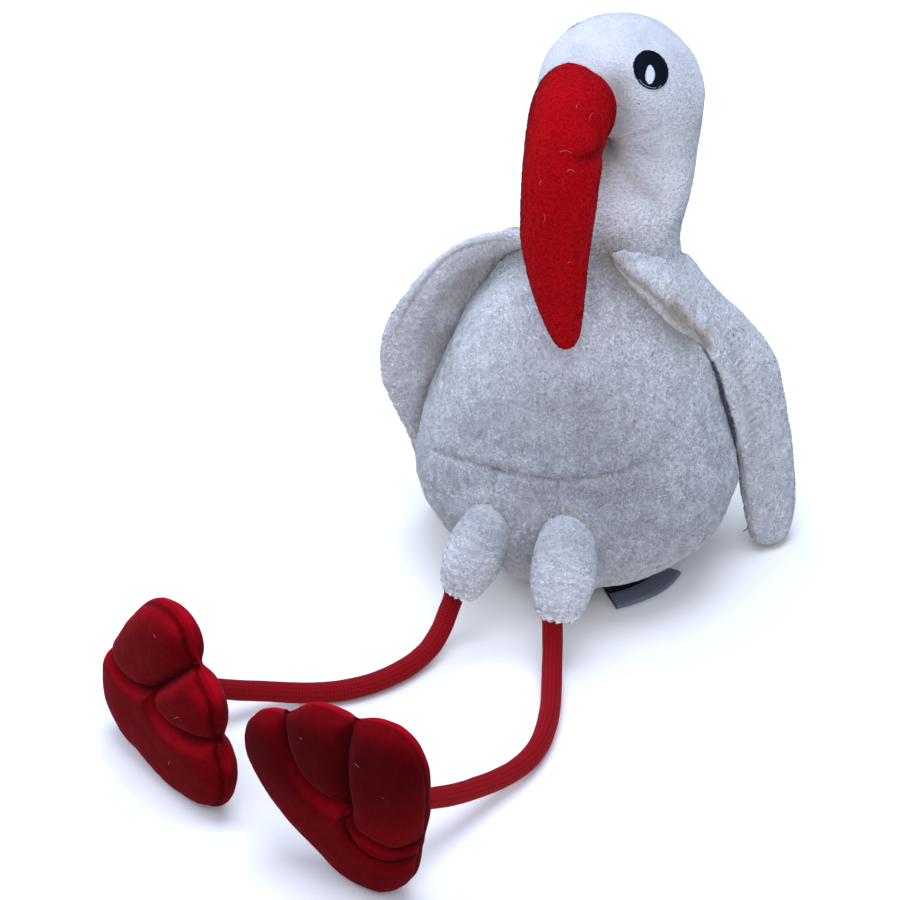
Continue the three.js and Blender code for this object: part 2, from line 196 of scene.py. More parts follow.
# ---- Meshes ----
def mesh_object(name, points, faces, materials, uv=None, facets=None, normals=None, **fields):
    """A smooth mesh object. `faces` are arrays of triangles or quads, `uv` has a place for each
    face corner or each point, `facets` a material number for each face, `normals` a direction and
    `fields` a value for each point."""
    mesh = bpy.data.meshes.new(name)
    corners = np.concatenate([f.ravel() for f in faces]).astype(np.int32)
    sizes = np.concatenate([np.full(len(f), f.shape[1]) for f in faces])
    starts = np.concatenate([[0], np.cumsum(sizes)[:-1]]).astype(np.int32)
    mesh.vertices.add(len(points))
    mesh.vertices.foreach_set("co", (points * MM).astype(np.float32).ravel())
    mesh.loops.add(len(corners))
    mesh.loops.foreach_set("vertex_index", corners)
    mesh.polygons.add(len(sizes))
    mesh.polygons.foreach_set("loop_start", starts)
    mesh.update(calc_edges=True)
    mesh.shade_smooth()
    for material in materials:
        mesh.materials.append(material)
    if facets is not None:
        mesh.polygons.foreach_set("material_index", facets.astype(np.int32))
    if uv is not None:
        layer = mesh.uv_layers.new(name="OFBake")
        places = uv if len(uv) == len(corners) else uv[corners]
        layer.uv.foreach_set("vector", places.astype(np.float32).ravel())
    for field, values in fields.items():
        attribute = mesh.attributes.new(field, "FLOAT", "POINT")
        attribute.data.foreach_set("value", values.astype(np.float32).ravel())
    if normals is not None:
        mesh.normals_split_custom_set_from_vertices(normals)
    piece = bpy.data.objects.new(name, mesh)
    bpy.context.scene.collection.objects.link(piece)
    return piece


def add_piece(piece, slot, *replaced):
    """A finished piece of the toy: it rides on the one body and stands for its CAD nodes."""
    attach(piece, "root")
    if replaced:
        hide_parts(*replaced)


def ring_quads(rows, columns):
    """The quads between closed rings of points, and the row and column of each."""
    i, j = np.divmod(np.arange((rows - 1) * columns), columns)
    k = (j + 1) % columns
    low, high = i * columns, (i + 1) * columns
    return np.stack([low + j, low + k, high + k, high + j], 1), i, j


UV_MARGIN = 0.002


class Skin:
    """A closed form as rings of points, all alike in number, with a normal at each point."""

    def __init__(self, rings):
        self.points = np.asarray(rings, float)
        self.find_normals()

    def find_normals(self):
        p = self.points
        around = np.roll(p, -1, axis=1) - np.roll(p, 1, axis=1)
        normals = unit(np.cross(around, np.gradient(p, axis=0)))
        self.around = unit(around)
        self.flipped = (normals * (p - p.mean(axis=(0, 1)))).sum() < 0
        self.normals = -normals if self.flipped else normals

    def push(self, height):
        """Moves each point along its normal."""
        self.points = self.points + self.normals * height[..., None]
        self.find_normals()

    def all_points(self):
        """The rings' points, and one in the middle of each end ring."""
        ends = [self.points[end].mean(axis=0) for end in (0, -1)]
        return np.vstack([self.points.reshape(-1, 3), *ends])

    def faces(self):
        """Quads between the rings and a fan over each end, and a place on the unwrap for each corner."""
        rows, columns = self.points.shape[:2]
        quads, i, j = ring_quads(rows, columns)
        ring = np.arange(columns)
        after = np.roll(ring, -1)
        hub = np.full(columns, rows * columns)
        last = (rows - 1) * columns
        groups = [
            (quads, [j, j + 1, j + 1, j], np.stack([i, i, i + 1, i + 1], 1) / (rows - 1)),
            (np.stack([hub, after, ring], 1), [ring + 0.5, ring + 1, ring], np.zeros((columns, 3))),
            (np.stack([hub + 1, ring + last, after + last], 1), [ring + 0.5, ring, ring + 1],
             np.ones((columns, 3))),
        ]
        order = -1 if self.flipped else 1
        places = [
            np.stack([np.stack(u, 1) / columns, v], 2)[:, ::order].reshape(-1, 2) for _, u, v in groups
        ]
        return [corners[:, ::order] for corners, _, _ in groups], np.concatenate(places)

    def to_mesh(self, name, material, **fields):
        """The skin as a mesh object. Each field has a value for each point of the rings."""
        faces, uv = self.faces()
        closed = {
            key: np.append(values.ravel(), [values[0].mean(), values[-1].mean()])
            for key, values in fields.items()
        }
        uv = uv * (1 - 2 * UV_MARGIN) + UV_MARGIN
        return mesh_object(name, self.all_points(), faces, [material], uv, **closed)


def add_padded(name, skin, material, slot, fill, replaced, **fields):
    """The skin of a stuffed piece. Its `fill`, how tightly it is filled, is not used."""
    piece = skin.to_mesh(name, material, **fields)
    add_piece(piece, slot, *replaced)


X_AXIS = np.array([1.0, 0.0, 0.0])


def swept(line, radii, columns):
    """Rings of points round a line, wide along X. `radii` are stations [along, wide, deep]."""
    ahead = unit(np.gradient(line, axis=0))
    across = unit(X_AXIS - ahead * (ahead @ X_AXIS)[:, None])
    up = np.cross(ahead, across)
    wide, deep = between(radii, np.linspace(0, 1, len(line))).T
    turn = np.linspace(0, 2 * np.pi, columns, endpoint=False)
    return (
        line[:, None]
        + across[:, None] * (wide[:, None] * np.cos(turn))[..., None]
        + up[:, None] * (deep[:, None] * np.sin(turn))[..., None]
    )


def tube(line, radius, sides):
    """Rings of points round a line, untwisted. `radius` is one number or one for each point."""
    radius = np.broadcast_to(radius, len(line))
    ahead = unit(np.gradient(line, axis=0))
    across = np.cross(ahead[0], [0.3, 0.5, 0.81])
    frames = []
    for step in ahead:
        across = across - step * (step @ across)
        across = across / np.linalg.norm(across)
        frames.append((across, np.cross(step, across)))
    turn = np.linspace(0, 2 * np.pi, sides, endpoint=False)
    rings = [
        p + r * (np.outer(np.cos(turn), a) + np.outer(np.sin(turn), b))
        for p, r, (a, b) in zip(line, radius, frames)
    ]
    return np.array(rings)


def join_tubes(tubes):
    """Points and faces of many tubes of rings, each closed at both ends."""
    points, quads, ends = [], [], []
    base = 0
    for rings in tubes:
        rows, sides = rings.shape[:2]
        quads.append(base + ring_quads(rows, sides)[0])
        fan = np.arange(1, sides - 1)
        last = base + (rows - 1) * sides
        ends.append(base + np.stack([np.zeros_like(fan), fan + 1, fan], 1))
        ends.append(last + np.stack([np.zeros_like(fan), fan, fan + 1], 1))
        points.append(rings.reshape(-1, 3))
        base += rows * sides
    return np.concatenate(points), [np.concatenate(quads), np.concatenate(ends)]


# ---- Materials ----
class Finish:
    """A material and its nodes. Patterns are laid out in object coordinates, in metres."""

    def __init__(self, name, roughness, sheen=0.0, sheen_roughness=0.5, sheen_tint=(1, 1, 1), specular=0.25):
        self.material = bpy.data.materials.new(name)
        self.material.use_nodes = True
        self.tree = self.material.node_tree
        self.shader = self.tree.nodes["Principled BSDF"]
        self.place = self.tree.nodes.new("ShaderNodeTexCoord").outputs["Object"]
        self.feed(self.shader, {
            "Roughness": roughness,
            "Sheen Weight": sheen,
            "Sheen Roughness": sheen_roughness,
            "Sheen Tint": sheen_tint,
            "Specular IOR Level": specular,
        })

    def feed(self, node, inputs):
        """Links each input to a socket, or sets it to a number or a colour."""
        for name, value in inputs.items():
            if isinstance(value, bpy.types.NodeSocket):
                self.tree.links.new(value, node.inputs[name])
            else:
                node.inputs[name].default_value = (*value, 1) if isinstance(value, tuple) else value

    def noise(self, size, detail=2.0, roughness=0.5, distortion=0.0, place=None):
        """Noise with lumps of that size in mm."""
        node = self.tree.nodes.new("ShaderNodeTexNoise")
        self.feed(node, {
            "Vector": self.place if place is None else place,
            "Scale": 1 / (size * MM),
            "Detail": detail,
            "Roughness": roughness,
            "Distortion": distortion,
        })
        return node.outputs["Fac"]

    def ramp(self, value, *stops):
        """Turns a value into a colour between two stops (value, colour)."""
        node = self.tree.nodes.new("ShaderNodeValToRGB")
        for element, (at, colour) in zip(node.color_ramp.elements, stops):
            element.position = at
            element.color = (*colour, 1)
        self.feed(node, {"Fac": value})
        return node.outputs["Color"]

    def mix(self, share, first, second, kind="MIX"):
        node = self.tree.nodes.new("ShaderNodeMix")
        node.data_type = "RGBA"
        node.blend_type = kind
        self.feed(node, {0: share, 6: first, 7: second})
        return node.outputs[2]

    def times(self, first, second):
        node = self.tree.nodes.new("ShaderNodeMath")
        node.operation = "MULTIPLY"
        self.feed(node, {0: first, 1: second})
        return node.outputs[0]

    def field(self, name):
        """A value that the mesh holds for each of its points."""
        node = self.tree.nodes.new("ShaderNodeAttribute")
        node.attribute_name = name
        return node.outputs["Fac"]

    def bump(self, *heights):
        """Bump from (height, depth in mm) pairs."""
        normal = {}
        for height, depth in heights:
            node = self.tree.nodes.new("ShaderNodeBump")
            self.feed(node, {"Distance": depth * MM, "Height": height, **normal})
            normal = {"Normal": node.outputs["Normal"]}
        self.feed(self.shader, normal)

    def coloured(self, colour):
        self.feed(self.shader, {"Base Color": colour})
        return self.material


WHITE_TIP = (0.93, 0.90, 0.84)
WHITE_PIT_SHADE = (0.34, 0.325, 0.305)
WHITE_BLOTCH = (0.90, 0.89, 0.91)
BLACK_TIP = (0.018, 0.019, 0.024)
# Brown of the stitches, also mixed in as painted shade in creases, hollows and folds.
SEAM_AND_SHADE_BROWN = (0.22, 0.175, 0.105)
FELT_PIT = (0.31, 0.001, 0.003)
FELT_TIP = (0.45, 0.002, 0.005)
FELT_SHADE = (0.10, 0.0003, 0.001)
VELOUR_PIT = (0.08, 0.0002, 0.0009)
VELOUR_TIP = (0.15, 0.0005, 0.0016)
VELOUR_PAINTED_LIGHT = (0.40, 0.0015, 0.008)
VELOUR_CREASE_SHADE = (0.012, 0.0, 0.0002)
KNIT_GAP_SHADE = (0.06, 0.0005, 0.0015)
KNIT_TIP = (0.35, 0.005, 0.009)
RIBBON_PIT = (0.12, 0.125, 0.14)
RIBBON_TIP = (0.15, 0.155, 0.175)
RIBBON_BLACK = (0.012, 0.013, 0.016)
RIBBON_WEAVE = 0.5      # size of its weave in mm
NAVY = (0.004, 0.006, 0.012)
IVORY = (0.72, 0.76, 0.86)
THREAD_RED = (0.30, 0.003, 0.010)
LINT_PINK = (0.60, 0.30, 0.33)
FLOOR_PIT = (0.97, 0.90, 0.78)
FLOOR_TIP = (0.98, 0.91, 0.79)


def grey(level):
    return (level, level, level)


def fleece_material():
    """White terry: bright loop tips over pits painted greyer as shade, brown stitches and painted shade,
    black where `dye` says so.
    """
    fleece = Finish("white_terry", 1.0, 0.7)
    white = fleece.mix(fleece.field("tone"), WHITE_PIT_SHADE, WHITE_TIP)
    blotch = fleece.ramp(fleece.noise(9, 3), (0.3, WHITE_BLOTCH), (0.7, grey(1)))
    white = fleece.mix(1.0, white, blotch, "MULTIPLY")
    white = fleece.mix(fleece.field("stitching_and_shade"), white, SEAM_AND_SHADE_BROWN)
    curls = fleece.times(fleece.noise(0.8, 2, 0.6, 0.5), fleece.field("loops"))
    fleece.bump((curls, 0.5), (fleece.noise(0.45, 1, 0.5, 0.5), 0.08))
    return fleece.coloured(fleece.mix(fleece.field("dye"), white, BLACK_TIP))


def felt_material():
    """Brushed red felt: matted fibres, a little lighter where they stand up."""
    felt = Finish("red_felt", 1.0, specular=0.06)
    stretch = felt.tree.nodes.new("ShaderNodeMapping")
    felt.feed(stretch, {"Vector": felt.place, "Scale": [0.45, 1.0, 1.4]})
    fibres = felt.noise(0.7, 3, 0.65, 1.0, stretch.outputs["Vector"])
    colour = felt.ramp(fibres, (0.32, FELT_PIT), (0.68, FELT_TIP))
    patches = felt.ramp(felt.noise(8, 2), (0.3, grey(0.9)), (0.7, grey(1)))
    colour = felt.mix(1.0, colour, patches, "MULTIPLY")
    felt.bump((fibres, 0.14), (felt.noise(0.3, 1), 0.06))
    return felt.coloured(felt.mix(felt.field("shade"), colour, FELT_SHADE))


def velour_material():
    """Dark red velour: short dense pile that glows a little at grazing angles, painted lighter where it faces
    up and painted darker as shade in its creases.
    """
    velour = Finish("red_velour", 0.9, 0.14, 0.3, (1.0, 0.02, 0.06), 0.04)
    pile = velour.noise(0.5, 2, 0.6)
    colour = velour.ramp(pile, (0.3, VELOUR_PIT), (0.7, VELOUR_TIP))
    colour = velour.mix(velour.field("painted_top_light"), colour, VELOUR_PAINTED_LIGHT)
    colour = velour.mix(velour.field("crease_shade"), colour, VELOUR_CREASE_SHADE)
    strokes = velour.ramp(velour.noise(7, 3, 0.6, 0.8), (0.3, grey(0.72)), (0.7, grey(1)))
    velour.bump((pile, 0.12))
    return velour.coloured(velour.mix(1.0, colour, strokes, "MULTIPLY"))


def knit_material():
    """Red knitted cord: bright stitches with painted shade in the gaps, from the stitch height."""
    knit = Finish("red_knit", 0.85, 0.15, 0.4, (1.0, 0.12, 0.16), 0.08)
    knit.bump((knit.noise(0.35, 2), 0.1))
    return knit.coloured(knit.mix(knit.field("tone"), KNIT_GAP_SHADE, KNIT_TIP))


def thread_material(name, colour):
    """Embroidery thread with fine strands."""
    thread = Finish(name, 0.6, specular=0.06)
    strands = thread.noise(0.25, 2)
    thread.bump((strands, 0.03))
    return thread.coloured(thread.ramp(strands, (0.3, tuple(0.7 * c for c in colour)), (0.7, colour)))


def ribbon_material():
    """Woven satin ribbon, grey on its face and black at the fold and underneath."""
    ribbon = Finish("label_ribbon", 0.55, 0.1)
    weave = ribbon.tree.nodes.new("ShaderNodeTexWave")
    ribbon.feed(weave, {"Vector": ribbon.place, "Scale": 1 / (2 * math.pi * RIBBON_WEAVE * MM)})
    threads = weave.outputs["Fac"]
    face = ribbon.ramp(threads, (0.0, RIBBON_PIT), (1.0, RIBBON_TIP))
    ribbon.bump((threads, 0.05))
    return ribbon.coloured(ribbon.mix(ribbon.field("dye"), face, RIBBON_BLACK))


# ---- The coat: short tufts that grow out of a skin ----
class Pile:
    """How one stretch of coat grows: sizes in mm, `spacing` between roots, `shade` how much its
    tufts stand out from one another."""

    def __init__(self, spacing, length, width, rise, lie="random", curl=0.5, shade=1.0):
        self.spacing = spacing
        self.length = length
        self.width = width
        self.rise = rise
        self.lie = lie
        self.curl = curl
        self.shade = shade


LOOPS = Pile(spacing=0.52, length=0.78, width=0.46, rise=0.46, curl=0.6)
SHORT_LOOPS = Pile(spacing=0.5, length=0.8, width=0.40, rise=0.32, lie="sideways", shade=0.8)
NAP = Pile(spacing=0.6, length=1.0, width=0.17, rise=0.06, lie="sideways", curl=0.2, shade=0.3)
FUZZ = Pile(spacing=0.95, length=1.0, width=0.09, rise=0.22, lie="sideways", curl=0.8, shade=0.0)

TUFT_PATCH = 0.003      # how much of the unwrap one tuft's patch takes
TUFT_FACES = np.array([[0, 3, 1], [1, 3, 2], [2, 3, 0], [0, 1, 2]])
TUFT_PLACES = np.array([[0.0, 0.0], [1.0, 0.0], [0.5, 0.4], [0.5, 1.0]]) - 0.5
# Tufts are painted darker at their feet than at their tips: painted shade among the roots.
TUFT_TONES = np.array([-0.32, -0.32, -0.06, 0.12])      # two feet, back and tip
TUFT_ROOT = 0.35        # how deep its feet stand in the skin
TUFT_ROUNDNESS = 0.6    # how far a tuft's own roundness turns the light on it
TUFT_FLOOR = 0.15       # no tuft reaches lower than this
CLUMP_SIZE = 2.4        # tufts of one clump are alike in tone
CLUMP_TONE = 0.28
COAT_LIMIT = 190_000    # triangles in one piece of coat
COAT_SEED = 7
PILE_DEPTH = 0.9        # how far a skin lies under its coat's tips
BURIED_DEPTH = 0.7      # tufts nearer than this to a surface still show through its coat
OPEN_HEIGHT = 0.4       # how far over the skin a tuft has to be in the open
OPEN_FLOOR = 0.5


def scatter(skin, spacing, density, rng):
    """Roots spread over a skin: the row and column of each, with its share of the way to the next."""
    p = skin.points
    down = np.linalg.norm(np.cross(p[1:] - p[:-1], np.roll(p, -1, axis=1)[:-1] - p[:-1]), axis=-1)
    expected = down * density[:-1] / spacing**2
    count = np.floor(expected + rng.random(expected.shape)).astype(int)
    cell = np.repeat(np.arange(count.size), count.ravel())
    row, column = np.divmod(cell, p.shape[1])
    return row, column, rng.random(len(cell)), rng.random(len(cell))


def on_skin(skin, values, row, column, a, b):
    """Values of a skin's grid at scattered places."""
    after = (column + 1) % skin.points.shape[1]
    a, b = a[:, None], b[:, None]
    top = values[row, column] * (1 - b) + values[row, after] * b
    low = values[row + 1, column] * (1 - b) + values[row + 1, after] * b
    return top * (1 - a) + low * a


def solid_of(skin):
    """A skin's surface and its box, to find what lies inside it."""
    flat = skin.points.reshape(-1, 3)
    faces = [face for group in skin.faces()[0] for face in group.tolist()]
    tree = BVHTree.FromPolygons(skin.all_points().tolist(), faces)
    return tree, flat.min(axis=0) - 1, flat.max(axis=0) + 1


def buried(points, outward, solids):
    """Which points lie deep inside one of the solids, with its surface over them too."""
    inside = np.zeros(len(points), bool)
    for tree, low, high in solids:
        for i in np.flatnonzero(((points > low) & (points < high)).all(axis=1) & ~inside):
            point, out = Vector(points[i]), Vector(outward[i])
            place, normal, _, _ = tree.find_nearest(point)
            if (point - place).dot(normal) < -BURIED_DEPTH:
                over, facing, _, _ = tree.ray_cast(point, out)
                inside[i] = over is not None and facing.dot(out) > 0
    return inside


def tuft_turns(pile, root, rng):
    """Which way each tuft lies over the skin: in swirls, or to either side."""
    turn = 5 * noise(root, 2.8, 5) + rng.normal(0, 1.0, len(root))
    if pile.lie == "sideways":
        turn = 0.9 * noise(root, 6, 5) + rng.normal(0, 0.35, len(root))
        turn = turn + np.pi * (rng.random(len(root)) < 0.5)
    return turn


def tuft_mesh(root, normal, lean, length, width, rise, curl, roundness):
    """Slim pointed tufts that lie over one another: points (n, 4, 3) and their soft normals."""
    side = np.cross(normal, lean)
    foot = root - normal * TUFT_ROOT
    half = 0.5 * width
    points = np.stack([
        foot + side * half,
        foot - side * half,
        root + normal * (0.6 * width) - lean * half,
        root + lean * length + normal * rise + side * (curl * length),
    ], axis=1)
    points[..., 2] = np.maximum(points[..., 2], TUFT_FLOOR)
    turn = side * roundness
    ahead = lean * roundness
    facing = np.stack([normal + turn, normal - turn, normal - 0.5 * ahead, normal + ahead], axis=1)
    return points, unit(facing)


def grow_coat(name, skin, pile, material, rng, fields, density=1.0, shut_out=(), slot="fleece_white"):
    """Covers a skin with tufts, in as many pieces as the limit on triangles needs. `fields` colour
    the skin and its tufts, and no tuft grows inside the solids of `shut_out`."""
    rows, columns = skin.points.shape[:2]
    row, column, a, b = scatter(skin, pile.spacing, np.broadcast_to(density, (rows, columns)), rng)
    root = on_skin(skin, skin.points, row, column, a, b)
    normal = unit(on_skin(skin, skin.normals, row, column, a, b))
    around = on_skin(skin, skin.around, row, column, a, b)
    around = unit(around - normal * (around * normal).sum(axis=1, keepdims=True))
    open_air = ~buried(root + normal * OPEN_HEIGHT, normal, shut_out) & (root[:, 2] > OPEN_FLOOR)
    turn = tuft_turns(pile, root, rng)[:, None]
    lean = around * np.cos(turn) + unit(np.cross(normal, around)) * np.sin(turn)
    vary = rng.uniform(0.7, 1.3, (3, len(root), 1))
    curl = rng.uniform(-pile.curl, pile.curl, (len(root), 1))
    clump = CLUMP_TONE * noise(root, CLUMP_SIZE, 9) + rng.normal(0, 0.06, len(root))
    places = np.stack([(column + b) / columns, (row + a) / (rows - 1)], 1)
    taken = {key: on_skin(skin, values[..., None], row, column, a, b) for key, values in fields.items()}
    kept = np.flatnonzero(open_air)
    kept = kept[np.argsort(row[kept], kind="stable")]
    parts = max(1, math.ceil(len(kept) * len(TUFT_FACES) / COAT_LIMIT))
    for number, some in enumerate(np.array_split(kept, parts)):
        points, normals = tuft_mesh(
            root[some], normal[some], lean[some], pile.length * vary[0, some],
            pile.width * vary[1, some], pile.rise * vary[2, some], curl[some], TUFT_ROUNDNESS * pile.shade,
        )
        corners = points.shape[1]
        faces = corners * np.arange(len(some))[:, None, None] + TUFT_FACES
        uv = (places[some] * 0.99 + 0.005)[:, None] + TUFT_PLACES * TUFT_PATCH
        own = {key: np.repeat(values[some], corners, axis=1) for key, values in taken.items()}
        # Painted shade at each tuft's feet, and random clumps of tone.
        own["tone"] = np.clip(own["tone"] + (TUFT_TONES + clump[some, None]) * pile.shade, 0, 1)
        piece = mesh_object(
            name if parts == 1 else f"{name}_{number + 1}", points.reshape(-1, 3), [faces.reshape(-1, 3)],
            [material], uv.reshape(-1, 2), None, normals.reshape(-1, 3), **own,
        )
        add_piece(piece, slot)


def darkened(stitching_and_shade, strength, off, width):
    """Darkens the cloth that much where `off` is 0, and less over that width round it: for stitches and for
    painted shade alike.
    """
    return np.maximum(stitching_and_shade, strength * bell(off, width))


def cloth(skin, tone, dye=0.0, stitching_and_shade=0.0, loops=1.0):
    """The fields that colour a fleece skin and the coat that grows on it."""
    shape = skin.points.shape[:2]
    fields = {"tone": tone, "dye": dye, "stitching_and_shade": stitching_and_shade, "loops": loops}
    return {key: np.broadcast_to(np.asarray(values, float), shape) for key, values in fields.items()}


def panel_line(skin, knots, count=50):
    """A line over a panel through (share of its length, turn) knots, and its length."""
    places = smooth_line([[along * 360, turn, 0] for along, turn in knots], count)
    rows, columns = skin.points.shape[:2]
    at = np.clip(places[:, 0] / 360 * (rows - 1), 0, rows - 2)
    row = at.astype(int)
    turn = (places[:, 1] / 360 * columns) % columns
    column = turn.astype(int) % columns
    return on_skin(skin, skin.points, row, column, at - row, turn - np.floor(turn))


# ---- Body: one sewn form from the seat to the crown ----
SEAT_RADIUS = 22
BELLY_HEIGHT = 45
BELLY_RADIUS = 64
BODY_DEPTH = 0.96
HEAD_HEIGHT = 200
HEAD_RADIUS = 32.2
HEAD_CROWN = 31.5
SEAT_DROP = math.sqrt(1 - (SEAT_RADIUS / BELLY_RADIUS) ** 2)
BODY_STATIONS = [       # height, middle x, middle y, radius
    [0, 0, 0, BELLY_RADIUS],
    [BELLY_HEIGHT, -1, 0, BELLY_RADIUS],
    [70, -2, 1, 58],
    [101, -2, 3, 47],
    [127, 1.5, 6, 36],
    [145, 6.5, 8, 29],
    [163, 10.3, 10, 28.3],
    [181, 10, 11.5, 30],
    [HEAD_HEIGHT, 9.3, 12, HEAD_RADIUS],
]
BODY_ROWS = 230
BODY_COLUMNS = 310


def body_ring(z):
    """The middle and the radius of the body at each height."""
    z = np.asarray(z, float)
    x, y, radius = between(BODY_STATIONS, np.minimum(z, HEAD_HEIGHT)).T
    drop = SEAT_DROP * np.clip((BELLY_HEIGHT - z) / BELLY_HEIGHT, 0, 1)
    rise = np.clip((z - HEAD_HEIGHT) / HEAD_CROWN, 0, 1)
    return x, y, radius * np.sqrt(1 - drop**2) * np.sqrt(1 - rise**2)


def on_body(angle, z, grow=0.0):
    """Points on the body. `angle` is in degrees from straight ahead towards the toy's left."""
    x, y, radius = body_ring(np.asarray(z, float).ravel())
    turn = np.radians(np.asarray(angle, float).ravel() - 90)
    return np.stack([
        x + (radius + grow) * np.cos(turn),
        y + (radius * BODY_DEPTH + grow) * np.sin(turn),
        np.asarray(z, float).ravel(),
    ], axis=1)


def body_line(knots, count=40):
    """A line over the body through (angle, height) knots."""
    places = smooth_line([[a, z, 0] for a, z in knots], count)
    return on_body(places[:, 0], places[:, 1])


def body_skin():
    """The body's rings, evenly spaced from the middle of the seat up to the crown."""
    seat = [(r, 0.0) for r in np.linspace(0.4, SEAT_RADIUS, 12, endpoint=False)]
    low = BELLY_HEIGHT * (1 - np.cos(np.linspace(0, np.pi / 2, 60, endpoint=False)))
    sides = np.linspace(BELLY_HEIGHT, HEAD_HEIGHT, 200, endpoint=False)
    top = HEAD_HEIGHT + HEAD_CROWN * np.sin(np.linspace(0, 0.497 * np.pi, 80))
    heights = np.concatenate([low, sides, top])
    outline = np.array(seat + list(zip(body_ring(heights)[2], heights)))
    outline = resample(outline, BODY_ROWS)
    x, y, _ = body_ring(outline[:, 1])
    turn = np.linspace(0, 2 * np.pi, BODY_COLUMNS, endpoint=False)
    return Skin(np.stack([
        x[:, None] + outline[:, :1] * np.cos(turn),
        y[:, None] + outline[:, :1] * BODY_DEPTH * np.sin(turn),
        np.repeat(outline[:, 1:], BODY_COLUMNS, axis=1),
    ], axis=2))


# Seams and creases over the body, as (angle, height) knots, with their depth and width.
BODY_SEAMS = {
    "waist": ([(-48, 60), (-38, 63.3), (-25, 66.2), (-10, 67.7), (3, 68.4), (16, 69.4),
               (31, 71.1), (42, 72)], 0.9, 1.1),
    "side_left": ([(22, 144), (27.2, 134), (34.5, 117.7), (38.3, 94.5), (40, 74), (41.5, 58),
                   (46, 38)], 0.55, 1.6),
    "side_right": ([(-50, 122), (-60, 100), (-58, 80), (-51, 70), (-45, 58), (-44, 40)], 0.5, 1.6),
    "dart_right": ([(-14, 67.2), (-13.6, 61.8), (-12.8, 56.3), (-15.3, 51.4)], 0.9, 1.3),
    "dart_left": ([(11.3, 68.4), (11.1, 63.2), (11.9, 59.1), (12.6, 54.6)], 0.6, 1.2),
    "seat_crease": ([(-10.1, 53.3), (-7.6, 49.9), (-5.1, 46.6)], 0.8, 1.0),
    "back": ([(180, 30), (178, 80), (175, 140), (176, 190), (178, 222)], 0.5, 1.5),
}
STITCHED = {"waist": 0.9, "dart_right": 0.75, "dart_left": 0.6, "seat_crease": 0.35, "side_left": 0.12,
            "side_right": 0.12}
STITCH_LENGTH = 2.4
# Creases over the head as (angle, height) knots, with their depth and width, and painted shade in each.
HEAD_CREASES = [
    ([(4.5, 191.5), (19.9, 196.5), (33.3, 199.5), (43.7, 200.7), (52.9, 201.5)], 1.1, 1.6),
    ([(4.2, 190.8), (23.3, 192.1), (37.5, 188.8), (52.1, 186.2)], 0.8, 1.8),
    ([(4.5, 190), (15.1, 185), (22.2, 179.5)], 0.9, 1.8),
    ([(20, 182.1), (31.1, 176.3), (43.5, 170.2), (66.5, 160.5)], 0.7, 4.0),
    ([(9, 213), (11.5, 206), (10, 199), (5, 191.5)], 1.6, 4.5),
]
PUCKER = (3.5, 190.5)       # where the face is drawn in under the bill
PUCKER_DEPTH = 6.0
PUCKER_WIDTH = 5.0
SWELL_SHARE = 0.35      # the cloth swells beside a seam: share of its depth, how far off, how wide
SWELL_OFF = 4.5
SWELL_WIDTH = 3
# Painted shade in and round the pucker: how much, how far.
PUCKER_SHADES = [(0.95, 5.0), (0.75, 12.0)]      # how much, how far
BESIDE_BILL = [(12, 216), (14, 209), (13.5, 201), (9, 193.5)]       # a hollow on the bill's left side
HOLLOW_DEPTH = 1.9
HOLLOW_WIDTH = 6.0
# Where the flanks are fuller or pressed in by a wing: angle, height, how far each way, how much.
SWELLS = [(108, 97, 28, 20, 4.8), (-106, 46, 18, 20, -4.0)]
# Lumps of the stuffing: how high on the head, how much higher under the terry, size and seed.
BODY_LUMPS = [(0.45, 0.35, 21, 2), (0.2, 0.3, 9, 3), (0.05, 0.21, 3.2, 4)]
CURL_SIZE = 2.6         # size of the curls of the terry
EYE_MARGIN = 0.2        # bare skin round an eye


